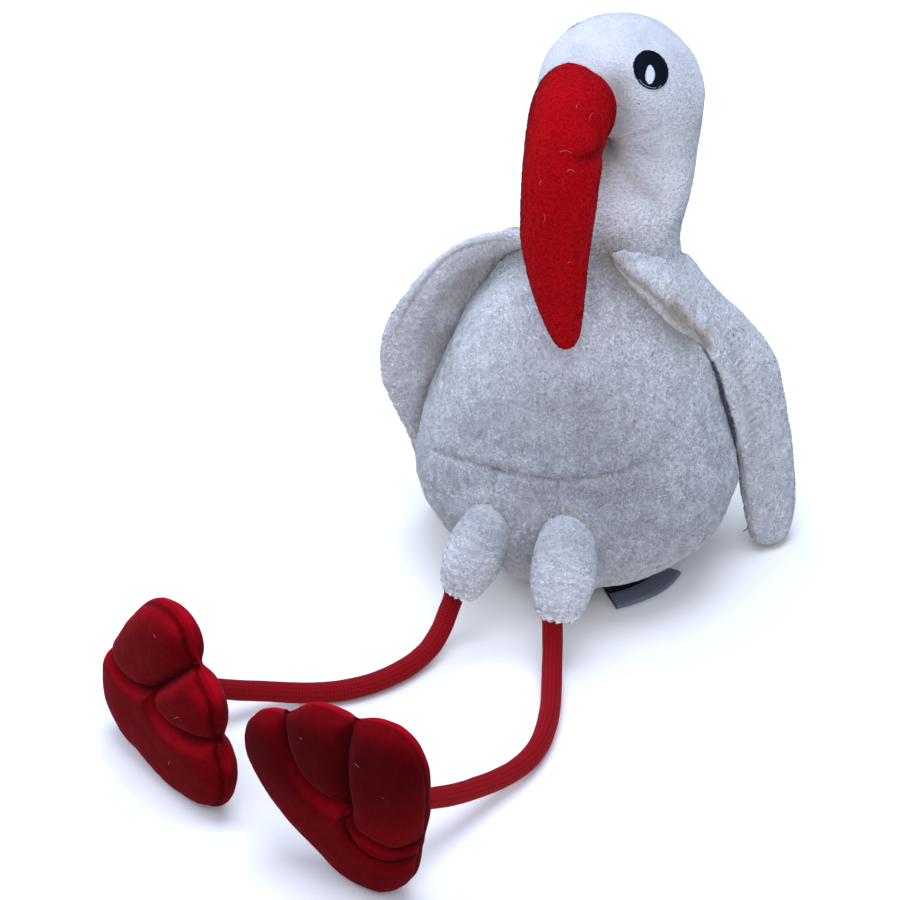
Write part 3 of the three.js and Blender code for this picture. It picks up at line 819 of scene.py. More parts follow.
def shape_body(skin):
    """Draws the seams, creases and soft lumps into the body. Returns its stitches and the painted shade in
    its hollows.
    """
    p = skin.points
    terry = smoothstep(165, 140, p[..., 2])
    height = 0.22 * terry * (ridges(p, CURL_SIZE, 6) - 0.5) - PILE_DEPTH
    for smooth, more, size, seed in BODY_LUMPS:
        height += (smooth + more * terry) * noise(p, size, seed)
    turned_to = np.degrees(np.arctan2(p[..., 1], p[..., 0])) + 90
    for angle, level, spread, tall, out in SWELLS:
        height += out * bell(angle_from(angle, turned_to), spread) * bell(p[..., 2] - level, tall)
    for knots, depth, width in BODY_SEAMS.values():
        off, _ = distance_to(p, body_line(knots))
        swell = SWELL_SHARE * bell(off - SWELL_OFF, SWELL_WIDTH)
        height -= depth * (bell(off, width) - swell)
    stitching_and_shade = np.zeros(p.shape[:2])
    for name, strength in STITCHED.items():
        line = body_line(BODY_SEAMS[name][0])
        off, along = distance_to(p, line)
        stitch = 0.65 + 0.35 * np.sin(2 * np.pi * along * length_of(line) / STITCH_LENGTH)
        stitching_and_shade = darkened(stitching_and_shade, strength * stitch * fade_ends(along, 0.08, 0.1), off, 0.75)
    # Creases in the head, with painted shade in them.
    for knots, depth, width in HEAD_CREASES:
        off, along = distance_to(p, body_line(knots))
        fade = smoothstep(1.0, 0.55, along)
        height -= depth * fade * bell(off, width)
        stitching_and_shade = darkened(stitching_and_shade, 0.36 * fade, off, width)
    # The pucker under the bill, with painted shade in and round it.
    drawn = np.linalg.norm(p - on_body(*PUCKER)[0], axis=-1)
    height -= PUCKER_DEPTH * bell(drawn, PUCKER_WIDTH)
    for strength, width in PUCKER_SHADES:
        stitching_and_shade = darkened(stitching_and_shade, strength, drawn, width)
    # The hollow beside the bill, with painted shade in it.
    off, _ = distance_to(p, body_line(BESIDE_BILL))
    height -= HOLLOW_DEPTH * bell(off, HOLLOW_WIDTH)
    stitching_and_shade = darkened(stitching_and_shade, 0.5, off, 7.0)
    for sign in (1, -1):
        flat = smoothstep(1.35, 1.0, on_eye(sign, p, EYE_MARGIN))
        height = height * (1 - flat) - (PILE_DEPTH + 0.25) * flat
    skin.push(height * smoothstep(0.0, 6.0, p[..., 2]))
    skin.points[..., 2] = np.maximum(skin.points[..., 2], 0.0)
    return stitching_and_shade


# By height: lighter up to the chest, darker over the crown as painted shade, and lighter low down as painted
# light on the underside.
TONE_LEVELS = [(75, 125, 0.31), (160, 205, -0.35), (36, 14, 0.32)]      # from, to, how much lighter
# Greyer places in front: angle, how far to each side, height, how far up and down, how much. The first greys
# the middle of the belly, the second is a painted shadow of the bill's tip on the chest.
TONE_SPOTS = [(26, 32, 60, 27, -0.24), (22, 14, 95, 14, -0.15)]
# Painted shade in the pucker: how much, how wide.
PUCKER_SHADE_TONE = (-0.7, 3.5)


def body_tone_and_shade(skin):
    """How light the body's cloth is painted: greyer on the belly, with painted shade over the crown, down the
    neck's side, under the bill's tip and in the pucker, and painted light on the flanks and underside.
    """
    level = skin.points[..., 2]
    ahead = angle_from(270, np.linspace(0, 360, BODY_COLUMNS, endpoint=False))
    tone = 0.46 + 0.07 * noise(skin.points, 7, 12)
    for low, high, more in TONE_LEVELS:
        tone += more * smoothstep(low, high, level)
    for angle, spread, middle, tall, more in TONE_SPOTS:
        tone += more * bell(ahead - angle, spread) * bell(level - middle, tall)
    # Painted sheen: the flanks lighter, as pile looks at grazing angles.
    flank_sheen = smoothstep(30, 65, np.abs(ahead - 12))
    tone += 0.15 * flank_sheen * smoothstep(50, 75, level) * smoothstep(150, 120, level)
    # Painted shade down the neck's side.
    neck_side_shade = smoothstep(55, 95, ahead)
    tone -= 0.42 * neck_side_shade * smoothstep(140, 155, level) * smoothstep(205, 190, level)
    # Painted shade in the pucker.
    more, width = PUCKER_SHADE_TONE
    return tone + more * bell(np.linalg.norm(skin.points - on_body(*PUCKER)[0], axis=-1), width)


def add_body(skin, stitching_and_shade, seam_and_crease_marks, material, blocked, rng):
    """The body's skin, with terry loops up to the neck and a short smooth nap over the head."""
    level = skin.points[..., 2]
    terry = smoothstep(168, 140, level)
    fields = cloth(skin, body_tone_and_shade(skin), stitching_and_shade=stitching_and_shade, loops=0.12 + 0.88 * terry)
    add_padded("body_skin", skin, material, "fleece_white", 0.8, ("trunk", "neck", "head"), **fields)
    # The coat thins along the stitched seams and the painted-shade creases.
    thin_seams = 1 - 0.8 * np.clip(seam_and_crease_marks * 1.6, 0, 1)
    behind = smoothstep(10, 30, skin.points[..., 1])
    loops = terry * thin_seams * smoothstep(0.3, 2.0, level) * (1 - 0.2 * behind)
    grow_coat("terry_body", skin, LOOPS, material, rng, fields, loops, blocked)
    nap = 1 - terry
    for sign in (1, -1):
        nap = nap * (on_eye(sign, skin.points, EYE_MARGIN) >= 1)
    grow_coat("nap_head", skin, NAP, material, rng, fields, nap, blocked)


# ---- Head: where the bill and the eyes sit ----
HEAD_TURN = math.radians(-31)
HEAD_ROLL = math.radians(4.5)
EYE_SPREAD = {1: math.radians(78), -1: math.radians(89.5)}    # left eye, right eye
EYE_LIFT = {1: math.radians(38.5), -1: math.radians(34)}
BILL_TURN = math.radians(5)
BILL_LIFT = math.radians(9.5)
HEAD_MIDDLE = Vector((*(float(c) for c in between(BODY_STATIONS, HEAD_HEIGHT)[:2]), HEAD_HEIGHT))
FACING = Vector((math.sin(HEAD_TURN), -math.cos(HEAD_TURN), 0))


def turned(vector, axis, angle):
    """A vector turned about an axis."""
    axis = axis.normalized()
    cos, sin = math.cos(angle), math.sin(angle)
    return vector * cos + axis.cross(vector) * sin + axis * axis.dot(vector) * (1 - cos)


def head_direction(turn, lift):
    """A direction out of the head: `turn` from straight ahead, `lift` from level."""
    level = turned(FACING * math.cos(lift), Vector((0, 0, 1)), turn)
    return turned(Vector((level.x, level.y, math.sin(lift))), FACING, HEAD_ROLL)


# ---- Bill ----
BILL_RADII = [
    [0, 16, 16.5],
    [0.22, 15.2, 15.5],
    [0.5, 13.8, 13],
    [0.72, 11.2, 10.6],
    [0.88, 7.8, 7.6],
    [0.96, 5.2, 5.1],
    [0.99, 3.4, 3.4],
    [1, 1.2, 1.2],
]
BILL_FOLDS = [          # route as (share of its length, turn round it), depth, width
    ([(0.27, -15), (0.285, 10), (0.31, 25), (0.325, 50), (0.315, 84)], 1.7, 2.8),
    ([(0.255, 5), (0.235, 30), (0.23, 60)], 0.7, 2.0),
    ([(0.86, 5), (0.85, 25), (0.845, 50)], 0.8, 1.2),
    ([(0.0, 30), (0.06, 60), (0.06, 120), (0.0, 150)], 0.5, 1.5),
]
BILL_SIDES = [(165, 0.6), (-25, 0.3)]      # turns where its cloth curves out of the light, how far
BILL_ROOT = 9           # how deep its root sits in the head


def bill_line(count):
    root = HEAD_MIDDLE + head_direction(BILL_TURN, BILL_LIFT) * (HEAD_RADIUS - BILL_ROOT)
    return smooth_line([
        tuple(root),
        (2.2, -28, 207.5),
        (4.4, -41.5, 197.5),
        (4.9, -47, 183),
        (4.9, -48.3, 163),
        (6.5, -46, 140.6),
        (8.3, -43.8, 121.5),
    ], count)


def bill_skin():
    """The bill and how shaded its cloth is, in its folds and down its two sides."""
    skin = Skin(swept(bill_line(170), BILL_RADII, 130))
    p = skin.points
    height = 0.35 * noise(p, 14, 21) + 0.15 * noise(p, 5, 22) - 0.25
    turn = np.linspace(0, 360, p.shape[1], endpoint=False)
    shade = np.zeros(p.shape[:2])
    for side, strength in BILL_SIDES:
        shade = shade + strength * bell(angle_from(side, turn), 28)
    for knots, depth, width in BILL_FOLDS:
        off, along = distance_to(p, panel_line(skin, knots))
        fade = smoothstep(1.0, 0.5, along) * bell(off, width)
        height -= depth * fade
        shade = np.maximum(shade, min(0.32 * depth, 0.7) * fade)
    skin.push(height)
    return skin, shade


def add_bill(skin, shade, blocked, rng):
    felt = felt_material()
    add_padded("bill_felt", skin, felt, "felt_red", 0.8, ("bill",), shade=shade)
    fields = {"tone": np.ones_like(shade), "shade": shade}
    grow_coat("fuzz_bill", skin, FUZZ, felt, rng, fields, 1.0, blocked, "felt_red")


# ---- Wings and tail: thin stuffed panels ----
# Each station: along, front edge x, y, z, back edge x, y, z, camber, half thickness.
WINGS = {
    "left": [
        [0.0, 17, -18, 149, 27, 25, 136, 0, 7.5],
        [0.12, 28, -18, 138, 33.5, 27, 123, 1, 9.2],
        [0.27, 40, -8, 116.5, 45, 32.5, 108, 3, 8.8],
        [0.42, 50.5, 5, 95, 56.5, 38, 96, 4, 7.5],
        [0.57, 55.5, 12.5, 71, 66, 43.3, 80, 4, 7],
        [0.72, 59.7, 17.5, 49.8, 70.5, 46.5, 57, 3, 7],
        [0.86, 62.3, 20.5, 28, 75.5, 45, 30, 2, 6.5],
        [0.94, 64.4, 21.5, 13, 77.5, 42, 13, 1, 6],
        [0.98, 66.3, 22.5, 4.5, 77.3, 36, 4.5, 0, 5],
        [1.0, 69, 25.5, 1.5, 75, 32, 1.5, 0, 3],
    ],
    "right": [
        [0.0, -3.5, -19, 148, -14, 22, 136, 0, 4],
        [0.1, -24, -16, 148, -28, 24, 127, -2, 4.5],
        [0.23, -46, -12, 137.5, -38, 26, 112, -4, 5],
        [0.37, -61, -15, 122, -46, 28, 97, -7, 5],
        [0.52, -74, -18, 99, -54, 29, 78, -8, 5],
        [0.67, -76, -17, 74, -58, 30, 56, -8, 5],
        [0.82, -69.5, -8, 46, -60, 30, 33, -6, 5],
        [0.94, -66, 3, 19, -58, 28, 12, -3, 4.5],
        [1.0, -62, 11, 4, -59, 20, 2, 0, 2.5],
    ],
}
TAIL = [
    [0.0, -20, 46, 30, 18, 46, 30, 0, 5],
    [0.35, -19, 74, 23, 17, 74, 23, 1, 7],
    [0.7, -15, 90, 17, 13, 90, 17, 1, 6],
    [0.92, -9, 100, 11, 7, 100, 11, 0, 4],
    [1.0, -4, 104, 9, 2, 104, 9, 0, 1.5],
]
WING_GRID = (170, 140)      # points along and round it
TAIL_GRID = (70, 90)
WING_SEEDS = {"left": 71, "right": 81}
TAIL_SEED = 61
FRONT_BLUNTNESS = 0.72      # below 1 rounds a panel's front edge off like a roll
CLOSING = (0.8, 0.5, 0.15)  # shares of the last ring, drawn in over the end
CLOSING_BULGE = 0.6


def panel(stations, rows, columns):
    """Rings of a stuffed panel, drawn in by the pile's depth, with a rounded end."""
    v = between(stations, np.linspace(0, 1, rows))
    front, back = v[:, 0:3], v[:, 3:6]
    camber, half = v[:, 6:7], v[:, 7:8]
    ahead = unit(np.gradient(front + back, axis=0))
    chord = back - front
    face = unit(np.cross(chord, ahead))
    turn = np.linspace(0, 2 * np.pi, columns, endpoint=False)
    across = (1 - np.cos(turn)) / 2
    up = np.sin(turn)
    blunt = np.where(np.cos(turn) > 0, np.abs(up) ** FRONT_BLUNTNESS * np.sign(up), up)
    bulge = blunt * half + camber * (1 - (2 * across - 1) ** 2)
    rings = front[:, None] + chord[:, None] * across[:, None] + face[:, None] * bulge[..., None]
    end = rings[-1].mean(axis=0)
    closing = [
        end + (rings[-1] - end) * s + ahead[-1] * CLOSING_BULGE * math.sqrt(1 - s * s) for s in CLOSING
    ]
    skin = Skin(np.concatenate([rings, closing]))
    skin.push(np.full(skin.points.shape[:2], -PILE_DEPTH))
    return skin


def soften(skin, seed):
    """Uneven stuffing and curls all over a panel."""
    p = skin.points
    curls = 0.25 * (ridges(p, CURL_SIZE, seed + 2) - 0.5)
    skin.push(0.35 * noise(p, 15, seed) + 0.25 * noise(p, 6, seed + 1) + curls)


# Lines over a wing as (share of its length, turn round it in degrees): route, depth and width.
# The turn is 0 at its front edge, 180 at its back edge and more than that over its outer face.
WING_FOLDS = {
    "left": [
        ([(-0.02, 322), (0.06, 318), (0.14, 318), (0.22, 320), (0.30, 325)], -1.6, 6.5),
        ([(0.22, 275), (0.25, 292), (0.28, 310), (0.32, 330), (0.366, 345), (0.40, 345)], 2.4, 1.8),
        ([(0.26, 278), (0.29, 295), (0.325, 315), (0.36, 330), (0.42, 338)], -1.2, 2.4),
        ([(0.27, 270), (0.32, 279), (0.366, 284), (0.47, 283), (0.587, 289), (0.709, 299), (0.85, 304)],
         1.4, 3.4),
        ([(0.02, 352), (0.045, 325), (0.06, 300)], 1.0, 1.3),
        ([(0.4, 325), (0.55, 335), (0.75, 340)], -0.8, 4.0),
        ([(0.08, 238), (0.2, 236), (0.3, 238), (0.42, 236)], -0.9, 7.0),
    ],
    "right": [
        ([(0.08, 336), (0.105, 337), (0.18, 339), (0.25, 345), (0.36, 342), (0.42, 337), (0.48, 334),
          (0.58, 333)], 1.0, 1.1),
        ([(0.2, 290), (0.3, 290), (0.42, 294), (0.52, 287), (0.6, 282)], 3.4, 8.0),
        ([(0.66, 342), (0.64, 324), (0.61, 296), (0.6, 280)], 0.9, 2.6),
        ([(0.02, 20), (0.07, 25), (0.12, 20)], -1.4, 5.0),
    ],
}
# Bands of small crosswise puckers: route, height and half width.
WING_PUCKERS = {
    "left": ([(0.30, 277), (0.366, 284), (0.47, 282), (0.587, 288), (0.709, 297), (0.80, 301)], 0.55, 5.0),
    "right": ([(0.33, 325), (0.42, 318), (0.48, 313), (0.58, 304)], 0.45, 5.0),
}
PUCKER_SPACING = 3.3
# Painted shade in a wing's folds and where it tucks against the body: route, how much and half width.
WING_SHADES = {
    "left": [
        ([(0.38, 290), (0.47, 286), (0.587, 292), (0.709, 301), (0.82, 303)], 0.20, 4.5),
        ([(0.01, 10), (0.1, 2), (0.18, -6), (0.27, -12)], 0.9, 2.0),
        ([(0.02, 355), (0.05, 345)], 0.5, 2.5),
        ([(0.1, 372), (0.2, 362), (0.29, 352)], 0.45, 4.0),
        ([(0.21, 345), (0.27, 338), (0.32, 335), (0.36, 342)], 0.95, 5.0),
    ],
    "right": [
        ([(0.22, 292), (0.27, 289), (0.32, 288), (0.38, 288)], 0.6, 6.0),
        ([(0.5, 278), (0.6, 282), (0.7, 292), (0.78, 305)], 0.5, 5.5),
    ],
}
WING_BLACK = {          # share of the wing's length, the turns where its black cloth starts and ends
    "left": [[0, 2, 172], [0.36, 0, 172], [0.5, -4, 172], [0.6, -8, 172], [0.78, 14, 172], [0.82, 18, 202],
             [0.93, 20, 202], [1, 20, 172]],
    "right": [[0, 42, 158], [1, 42, 158]],
}
BLACK_STARTS = (0.335, 0.35)        # shares of the wing's length
BLACK_EDGE = 6          # degrees over which it fades into the white
SHARP_FOLD = 1.5        # folds narrower than this are seams, drawn darker
# The wings' tone from root to tip: painted light on the shoulder, painted shade darker towards the tip.
WING_TIP_TONE = {"left": 0.65, "right": 0.85}
WING_ROOT_TONE = 1.15
# Where the left wing lies against the body, and the painted shade under it on the body: how much, how far.
WING_JOIN = [(0.0, 10), (0.1, 4), (0.2, -4), (0.3, -12)]
JOIN_SHADES = [(0.9, 4.0), (0.75, 9.5)]


def fold_wing(skin, side):
    """Folds, seams and puckers in a wing's outer face. Returns how dark each place is painted: its seams, and
    painted shade in its folds.
    """
    p = skin.points
    height = np.zeros(p.shape[:2])
    stitching_and_shade = np.zeros(p.shape[:2])
    for knots, depth, width in WING_FOLDS[side]:
        off, along = distance_to(p, panel_line(skin, knots))
        ends = fade_ends(along, 0.2, 0.2)
        height -= depth * ends * bell(off, width)
        if width < SHARP_FOLD:
            stitching_and_shade = darkened(stitching_and_shade, 0.28 * ends, off, 0.9)
    knots, size, width = WING_PUCKERS[side]
    route = panel_line(skin, knots)
    off, along = distance_to(p, route)
    ripple = np.sin(2 * np.pi * along * length_of(route) / PUCKER_SPACING + 2.2 * noise(p, 6, 91))
    uneven = 0.6 + 0.4 * noise(p, 9, 92)
    height += size * ripple * fade_ends(along, 0.15, 0.15) * bell(off, width) * uneven
    # Painted shade in the folds and where the wing tucks against the body.
    for knots, strength, width in WING_SHADES[side]:
        off, _ = distance_to(p, panel_line(skin, knots))
        stitching_and_shade = darkened(stitching_and_shade, strength, off, width)
    skin.push(height)
    return stitching_and_shade


def wing_dye(skin, side):
    """Black cloth covers the lower part of the wing's back."""
    rows, columns = skin.points.shape[:2]
    along = np.linspace(0, 1, rows)[:, None]
    turn = (np.linspace(0, 360, columns, endpoint=False)[None] + 90) % 360 - 90
    at, starts, ends = np.array(WING_BLACK[side]).T
    start, end = np.interp(along, at, starts), np.interp(along, at, ends)
    behind = smoothstep(start - BLACK_EDGE, start, turn) * smoothstep(end + BLACK_EDGE, end, turn)
    return behind * smoothstep(*BLACK_STARTS, along)


def add_wing(side, skin, stitching_and_shade, material, blocked, rng):
    # Painted light at the root, painted shade towards the tip.
    tone = np.linspace(WING_ROOT_TONE, WING_TIP_TONE[side], len(skin.points))[:, None]
    fields = cloth(skin, tone, wing_dye(skin, side), stitching_and_shade)
    add_padded(f"wing_skin_{side}", skin, material, "fleece_white", 0.35, (f"wing_{side}",), **fields)
    loops = 1 - np.clip(1.5 * stitching_and_shade, 0, 0.95)
    grow_coat(f"terry_wing_{side}", skin, LOOPS, material, rng, fields, loops, blocked)


def add_tail(skin, material, blocked, rng):
    fields = cloth(skin, 0.6)
    add_padded("tail_skin", skin, material, "fleece_white", 0.5, ("tail",), **fields)
    grow_coat("terry_tail", skin, LOOPS, material, rng, fields, 1.0, blocked)


# ---- Cords and thighs ----
CORD_RADIUS = 4
CORD_ROUTES = {
    "left": [
        [15.0, -76.6, 24.0], [15.7, -78.0, 20.5], [16.5, -80.0, 15.5], [17.9, -83.9, 11.0],
        [19.7, -89.7, 7.0], [22.6, -98.9, 4.8], [26.0, -110.5, 4.4], [28.4, -123.4, 4.4],
        [29.0, -135.7, 4.6], [27.5, -146.9, 5.4], [24.2, -158.7, 7.6], [19.9, -170.5, 11.0],
        [14.9, -183.3, 15.5], [9.8, -195.2, 21.0], [5.4, -205.0, 26.0], [1.8, -213.2, 29.0],
        [-1.6, -221.0, 31.0],
    ],
    "right": [
        [-25.6, -71.9, 22.0], [-26.0, -74.6, 18.0], [-26.6, -78.0, 14.5], [-27.4, -82.8, 10.0],
        [-29.0, -89.5, 6.2], [-31.8, -98.5, 4.6], [-36.0, -107.9, 4.4], [-41.8, -116.5, 4.4],
        [-49.6, -124.1, 4.4], [-59.3, -130.2, 4.6], [-68.6, -135.9, 6.2], [-77.0, -142.0, 9.0],
        [-84.1, -148.6, 12.2], [-90.8, -155.0, 15.8], [-98.2, -160.7, 19.0], [-105.0, -165.9, 21.0],
        [-111.2, -170.6, 22.2],
    ],
}
KNIT_WALES = 14         # columns of stitches round a cord
KNIT_COURSE = 1.25      # height of one row of stitches
KNIT_HEIGHT = 0.20
KNIT_SLANT = 0.55       # how far a stitch's legs lean, in rows
CORD_SIDES = 56
CORD_STEP = 0.42


def add_cord(side, material):
    """A knitted tube along its route, with the V-shaped stitches standing out."""
    route = CORD_ROUTES[side]
    length = length_of(smooth_line(route, 400))
    line = smooth_line(route, round(length / CORD_STEP))
    skin = Skin(tube(line, CORD_RADIUS - 0.1, CORD_SIDES))
    rows, columns = skin.points.shape[:2]
    run = np.linspace(0, length, rows)[:, None]
    around = np.linspace(0, KNIT_WALES, columns, endpoint=False)[None]
    to_groove = np.abs((around + 0.5) % 1 - 0.5) * 2
    to_middle = np.abs(around % 1 - 0.5) * 2
    stitch = 0.5 + 0.5 * np.cos(2 * np.pi * (run / KNIT_COURSE + KNIT_SLANT * to_middle))
    crest = stitch * (1 - 0.75 * (1 - to_groove) ** 3)
    skin.push(KNIT_HEIGHT * (crest - 0.5) + 0.12 * noise(skin.points, 6, 31))
    # Painted shade in the gaps between the stitches.
    piece = skin.to_mesh(f"cord_{side}", material, tone=0.3 + 0.7 * crest)
    add_piece(piece, "cord_red", f"leg_{side}")


THIGHS = {
    "left": {"line": [(11, -47, 54), (16.2, -66, 40), (17.2, -77.5, 20.8)], "girth": 12.7},
    "right": {"line": [(-14.5, -47, 54), (-18.6, -65, 40), (-24, -75, 21.3)], "girth": 11.6},
}
# Shares of the girth down a thigh, and the lip of its mouth: share of the mouth, how far ahead.
THIGH_SHARES = [[0, 0.6], [0.2, 0.8], [0.42, 0.99], [0.62, 1.04], [0.82, 0.9], [0.95, 0.68], [1, 0.5]]
THIGH_LIP = [(0.94, 0.5), (0.86, 0.7), (0.78, 0.5), (0.72, -0.3), (0.70, -1.5), (0.68, -3.5)]
THIGH_DEPTH = 0.95      # front-to-back size over side-to-side size
THIGH_WRINKLES = 16
THIGH_GATHERS = 11
FILLET = 9.0            # how far from a thigh the body's cloth is drawn up
# How much painted shade darkens the crease where the body meets a thigh.
THIGH_CREASE_SHADE = 0.35


def thigh_skin(side):
    """A tapered stuffed thigh whose mouth turns in round the cord."""
    girth = THIGHS[side]["girth"]
    line = smooth_line(THIGHS[side]["line"], 100)
    rings = swept(line, [[at, share * girth, share * girth * THIGH_DEPTH] for at, share in THIGH_SHARES], 120)
    mouth = rings[-1].mean(axis=0)
    ahead = unit(line[-1] - line[-2])
    lip = [mouth + (rings[-1] - mouth) * share + ahead * out for share, out in THIGH_LIP]
    skin = Skin(np.concatenate([rings, lip]))
    p = skin.points
    run = np.linspace(0, 1, len(p))[:, None]
    turn = np.linspace(0, 2 * np.pi, p.shape[1], endpoint=False)[None]
    wrinkle = np.sin(2 * np.pi * (run * THIGH_WRINKLES + 0.9 * noise(p, 8, 41)))
    wrinkle = wrinkle * (0.5 + 0.5 * noise(p, 10, 45))
    gather = np.sin(turn * THIGH_GATHERS + 2.5 * noise(p, 6, 42)) * smoothstep(0.72, 0.95, run)
    height = -PILE_DEPTH + 0.20 * wrinkle * smoothstep(0.15, 0.4, run) + 0.40 * gather
    height = height + 0.3 * noise(p, 7, 43) + 0.2 * (ridges(p, CURL_SIZE, 44) - 0.5)
    skin.push(height * smoothstep(1.0, 0.97, run))
    return skin


def add_thigh(side, skin, material, blocked, rng):
    run = np.linspace(0, 1, len(skin.points))[:, None]
    fields = cloth(skin, 0.40 + 0.52 * smoothstep(0.35, 0.72, run))
    add_padded(f"thigh_skin_{side}", skin, material, "fleece_white", 0.7, (f"thigh_{side}",), **fields)
    loops = 1 - 0.75 * smoothstep(0.86, 0.93, run)
    grow_coat(f"terry_thigh_{side}", skin, SHORT_LOOPS, material, rng, fields, loops, blocked)


# ---- Sewing: how the body's cloth meets a thigh, and a wing's root meets the body ----
def sew_on(skin, other):
    """Draws a skin's cloth up to a stuffed part that is sewn on to it. Returns the painted shade in the
    crease round that part.
    """
    tree, low, high = other
    flat = skin.points.reshape(-1, 3)
    height = np.zeros(len(flat))
    crease_shade = np.zeros(len(flat))
    for i in np.flatnonzero(((flat > low - FILLET) & (flat < high + FILLET)).all(axis=1)):
        place, normal, _, away = tree.find_nearest(Vector(flat[i]))
        outside = (Vector(flat[i]) - place).dot(normal) > 0
        height[i] = max(0.0, FILLET - away) ** 2 / (4 * FILLET) if outside else FILLET / 4
        crease_shade[i] = bell(away, 1.4) if outside else 1.0
    skin.push(height.reshape(skin.points.shape[:2]))
    return crease_shade.reshape(skin.points.shape[:2])


ROOT_ROWS = 0.55            # share of the wing's length that may lie against the body
ROOT_BACK = (0.33, 0.68)    # shares of the way round it
TUCK_REACH = 2.6            # cloth standing out less than this is drawn in
TUCK_DEPTH = 1.2


def tuck_in(skin, solid):
    """Draws in the back of a wing's root where it would only just show through the body."""
    tree = solid[0]
    rows, columns = skin.points.shape[:2]
    back = range(*(round(share * columns) for share in ROOT_BACK))
    for i, j in itertools.product(range(round(ROOT_ROWS * rows)), back):
        point = Vector(skin.points[i, j])
        place, normal, _, _ = tree.find_nearest(point)
        out = (point - place).dot(normal)
        if -1.0 < out < TUCK_REACH:
            share = float(smoothstep(TUCK_REACH, 0.5 * TUCK_REACH, out))
            skin.points[i, j] -= np.array(normal) * (out + TUCK_DEPTH) * share
    skin.find_normals()


# ---- Feet ----
FOOT_LENGTH = 78
FOOT_THICKNESS = 21
FOOT_HUB = 0.45 * FOOT_LENGTH
FEET = {                # heel, the way its toes point, the way its outer toe lies, the side in front
    "left": ((3.8, -223.5, 0.8), (-0.33, -0.01, 0.94), (-0.91, 0.28, -0.32), 1),
    "right": ((-125.8, -166.8, 14.4), (0.74, -0.49, 0.45), (0.37, -0.26, -0.89), -1),
}
FOOT_OUTLINES = {       # angle from the toes' axis, distance from the hub
    "left": [
        [-180, 36.2], [-155, 33], [-130, 28.8], [-105, 30], [-80, 37], [-60, 47.5], [-48, 51.5], [-36, 48.5],
        [-22, 42.5], [0, 43.5], [22, 41.5], [40, 48], [58, 47.5], [80, 39], [105, 32.3], [130, 30.3],
        [155, 34], [180, 36.2],
    ],
    "right": [
        [-180, 36.2], [-155, 33], [-130, 28.8], [-105, 29], [-80, 35.5], [-58, 46], [-40, 49.5], [-22, 41.5],
        [0, 44.5], [22, 41.5], [40, 48], [58, 47.5], [80, 39], [105, 32.3], [130, 30.3], [155, 34],
        [180, 36.2],
    ],
}
# Lines in the foot's own plane (towards the toes, towards the outer toe): route, depth of the
# valley and its width, depth of the crease along its bottom.
FOOT_GROOVES = {
    "left": [
        ([(78, -19), (61.5, -11.6), (50.4, -7.6), (40, -5)], 0.46, 3.4, 1.5),
        ([(84, 14), (68.7, 15.7), (52, 12.8), (43.6, 4.8), (40, -5)], 0.46, 3.2, 1.4),
        ([(43, -4.5), (31.7, -5.5), (28.1, -10.4), (23.3, -19), (25.3, -26.8), (29.3, -34)], 0.30, 2.2, 1.3),
        ([(38, -2), (30, -1.5), (24.1, -4.0), (18.5, -12.9), (19, -22)], 0.16, 1.8, 0.7),
    ],
    "right": [
        ([(90, -21), (76.7, -16.3), (60.5, -10.7), (45.3, -5.8)], 0.50, 3.2, 1.9),
        ([(90, 12.4), (71, 13.3), (54.5, 8.9), (46.6, 2.6), (45.3, -5.8)], 0.44, 3.2, 1.8),
        ([(45.3, -5.8), (36.4, -6.7), (24.9, -11.4), (17.2, -18.7), (10, -26)], 0.36, 2.6, 1.8),
    ],
}
FOOT_SEAM_DEPTH = 0.8     # of the seam round the edge, where the two faces meet
FOOT_SHADE = {"left": 0.5, "right": 0.0}            # how much painted shade darkens the front of its toes
FOOT_SEAM_PLACE = {"left": 0.0, "right": 3.0}       # how far it lies to the front
FOOT_AROUND = 310
FOOT_RINGS = 52
PILLOW = (4.2, 0.5)         # powers of its rounded section
SOLE_SHARE = 0.75           # how deep the valleys are on the back
VALLEY_POWER = 0.8          # below 1 gives a valley wide shoulders
GROOVE_WIDTH = 1.3


def foot_axes(side):
    _, toes, outer, _ = FEET[side]
    toes, outer = unit(np.array(toes)), np.array(outer)
    outer = unit(outer - toes * (outer @ toes))
    return toes, outer, np.cross(toes, outer)


def foot_point(side, p, q, height=0.0):
    """A place by a foot's own plane, `height` out of the side that faces forward."""
    toes, outer, face = foot_axes(side)
    heel, _, _, front = FEET[side]
    p, q, height = (np.asarray(v, float)[..., None] for v in (p, q, height))
    return np.array(heel) + p * toes + q * outer + height * front * face


def foot_valleys(side, flat, on_front):
    """How far the toes' stitches draw a foot in, how deep their grooves are, and the painted shade along
    them.
    """
    sunk, cut, crease_shade = (np.zeros(flat.shape[:2]) for _ in range(3))
    for route, depth, width, sharp in FOOT_GROOVES[side]:
        off, _ = distance_to(flat, smooth_line([(*point, 0) for point in route], 60))
        sunk = np.maximum(sunk, depth * np.exp(-((off / width) ** 2) ** VALLEY_POWER))
        cut = np.maximum(cut, sharp * np.exp(-off / GROOVE_WIDTH))
        # Painted shade along each groove.
        crease_shade = darkened(crease_shade, 0.75, off, 1.5)
    return np.where(on_front, sunk, SOLE_SHARE * sunk), cut * on_front, crease_shade * on_front


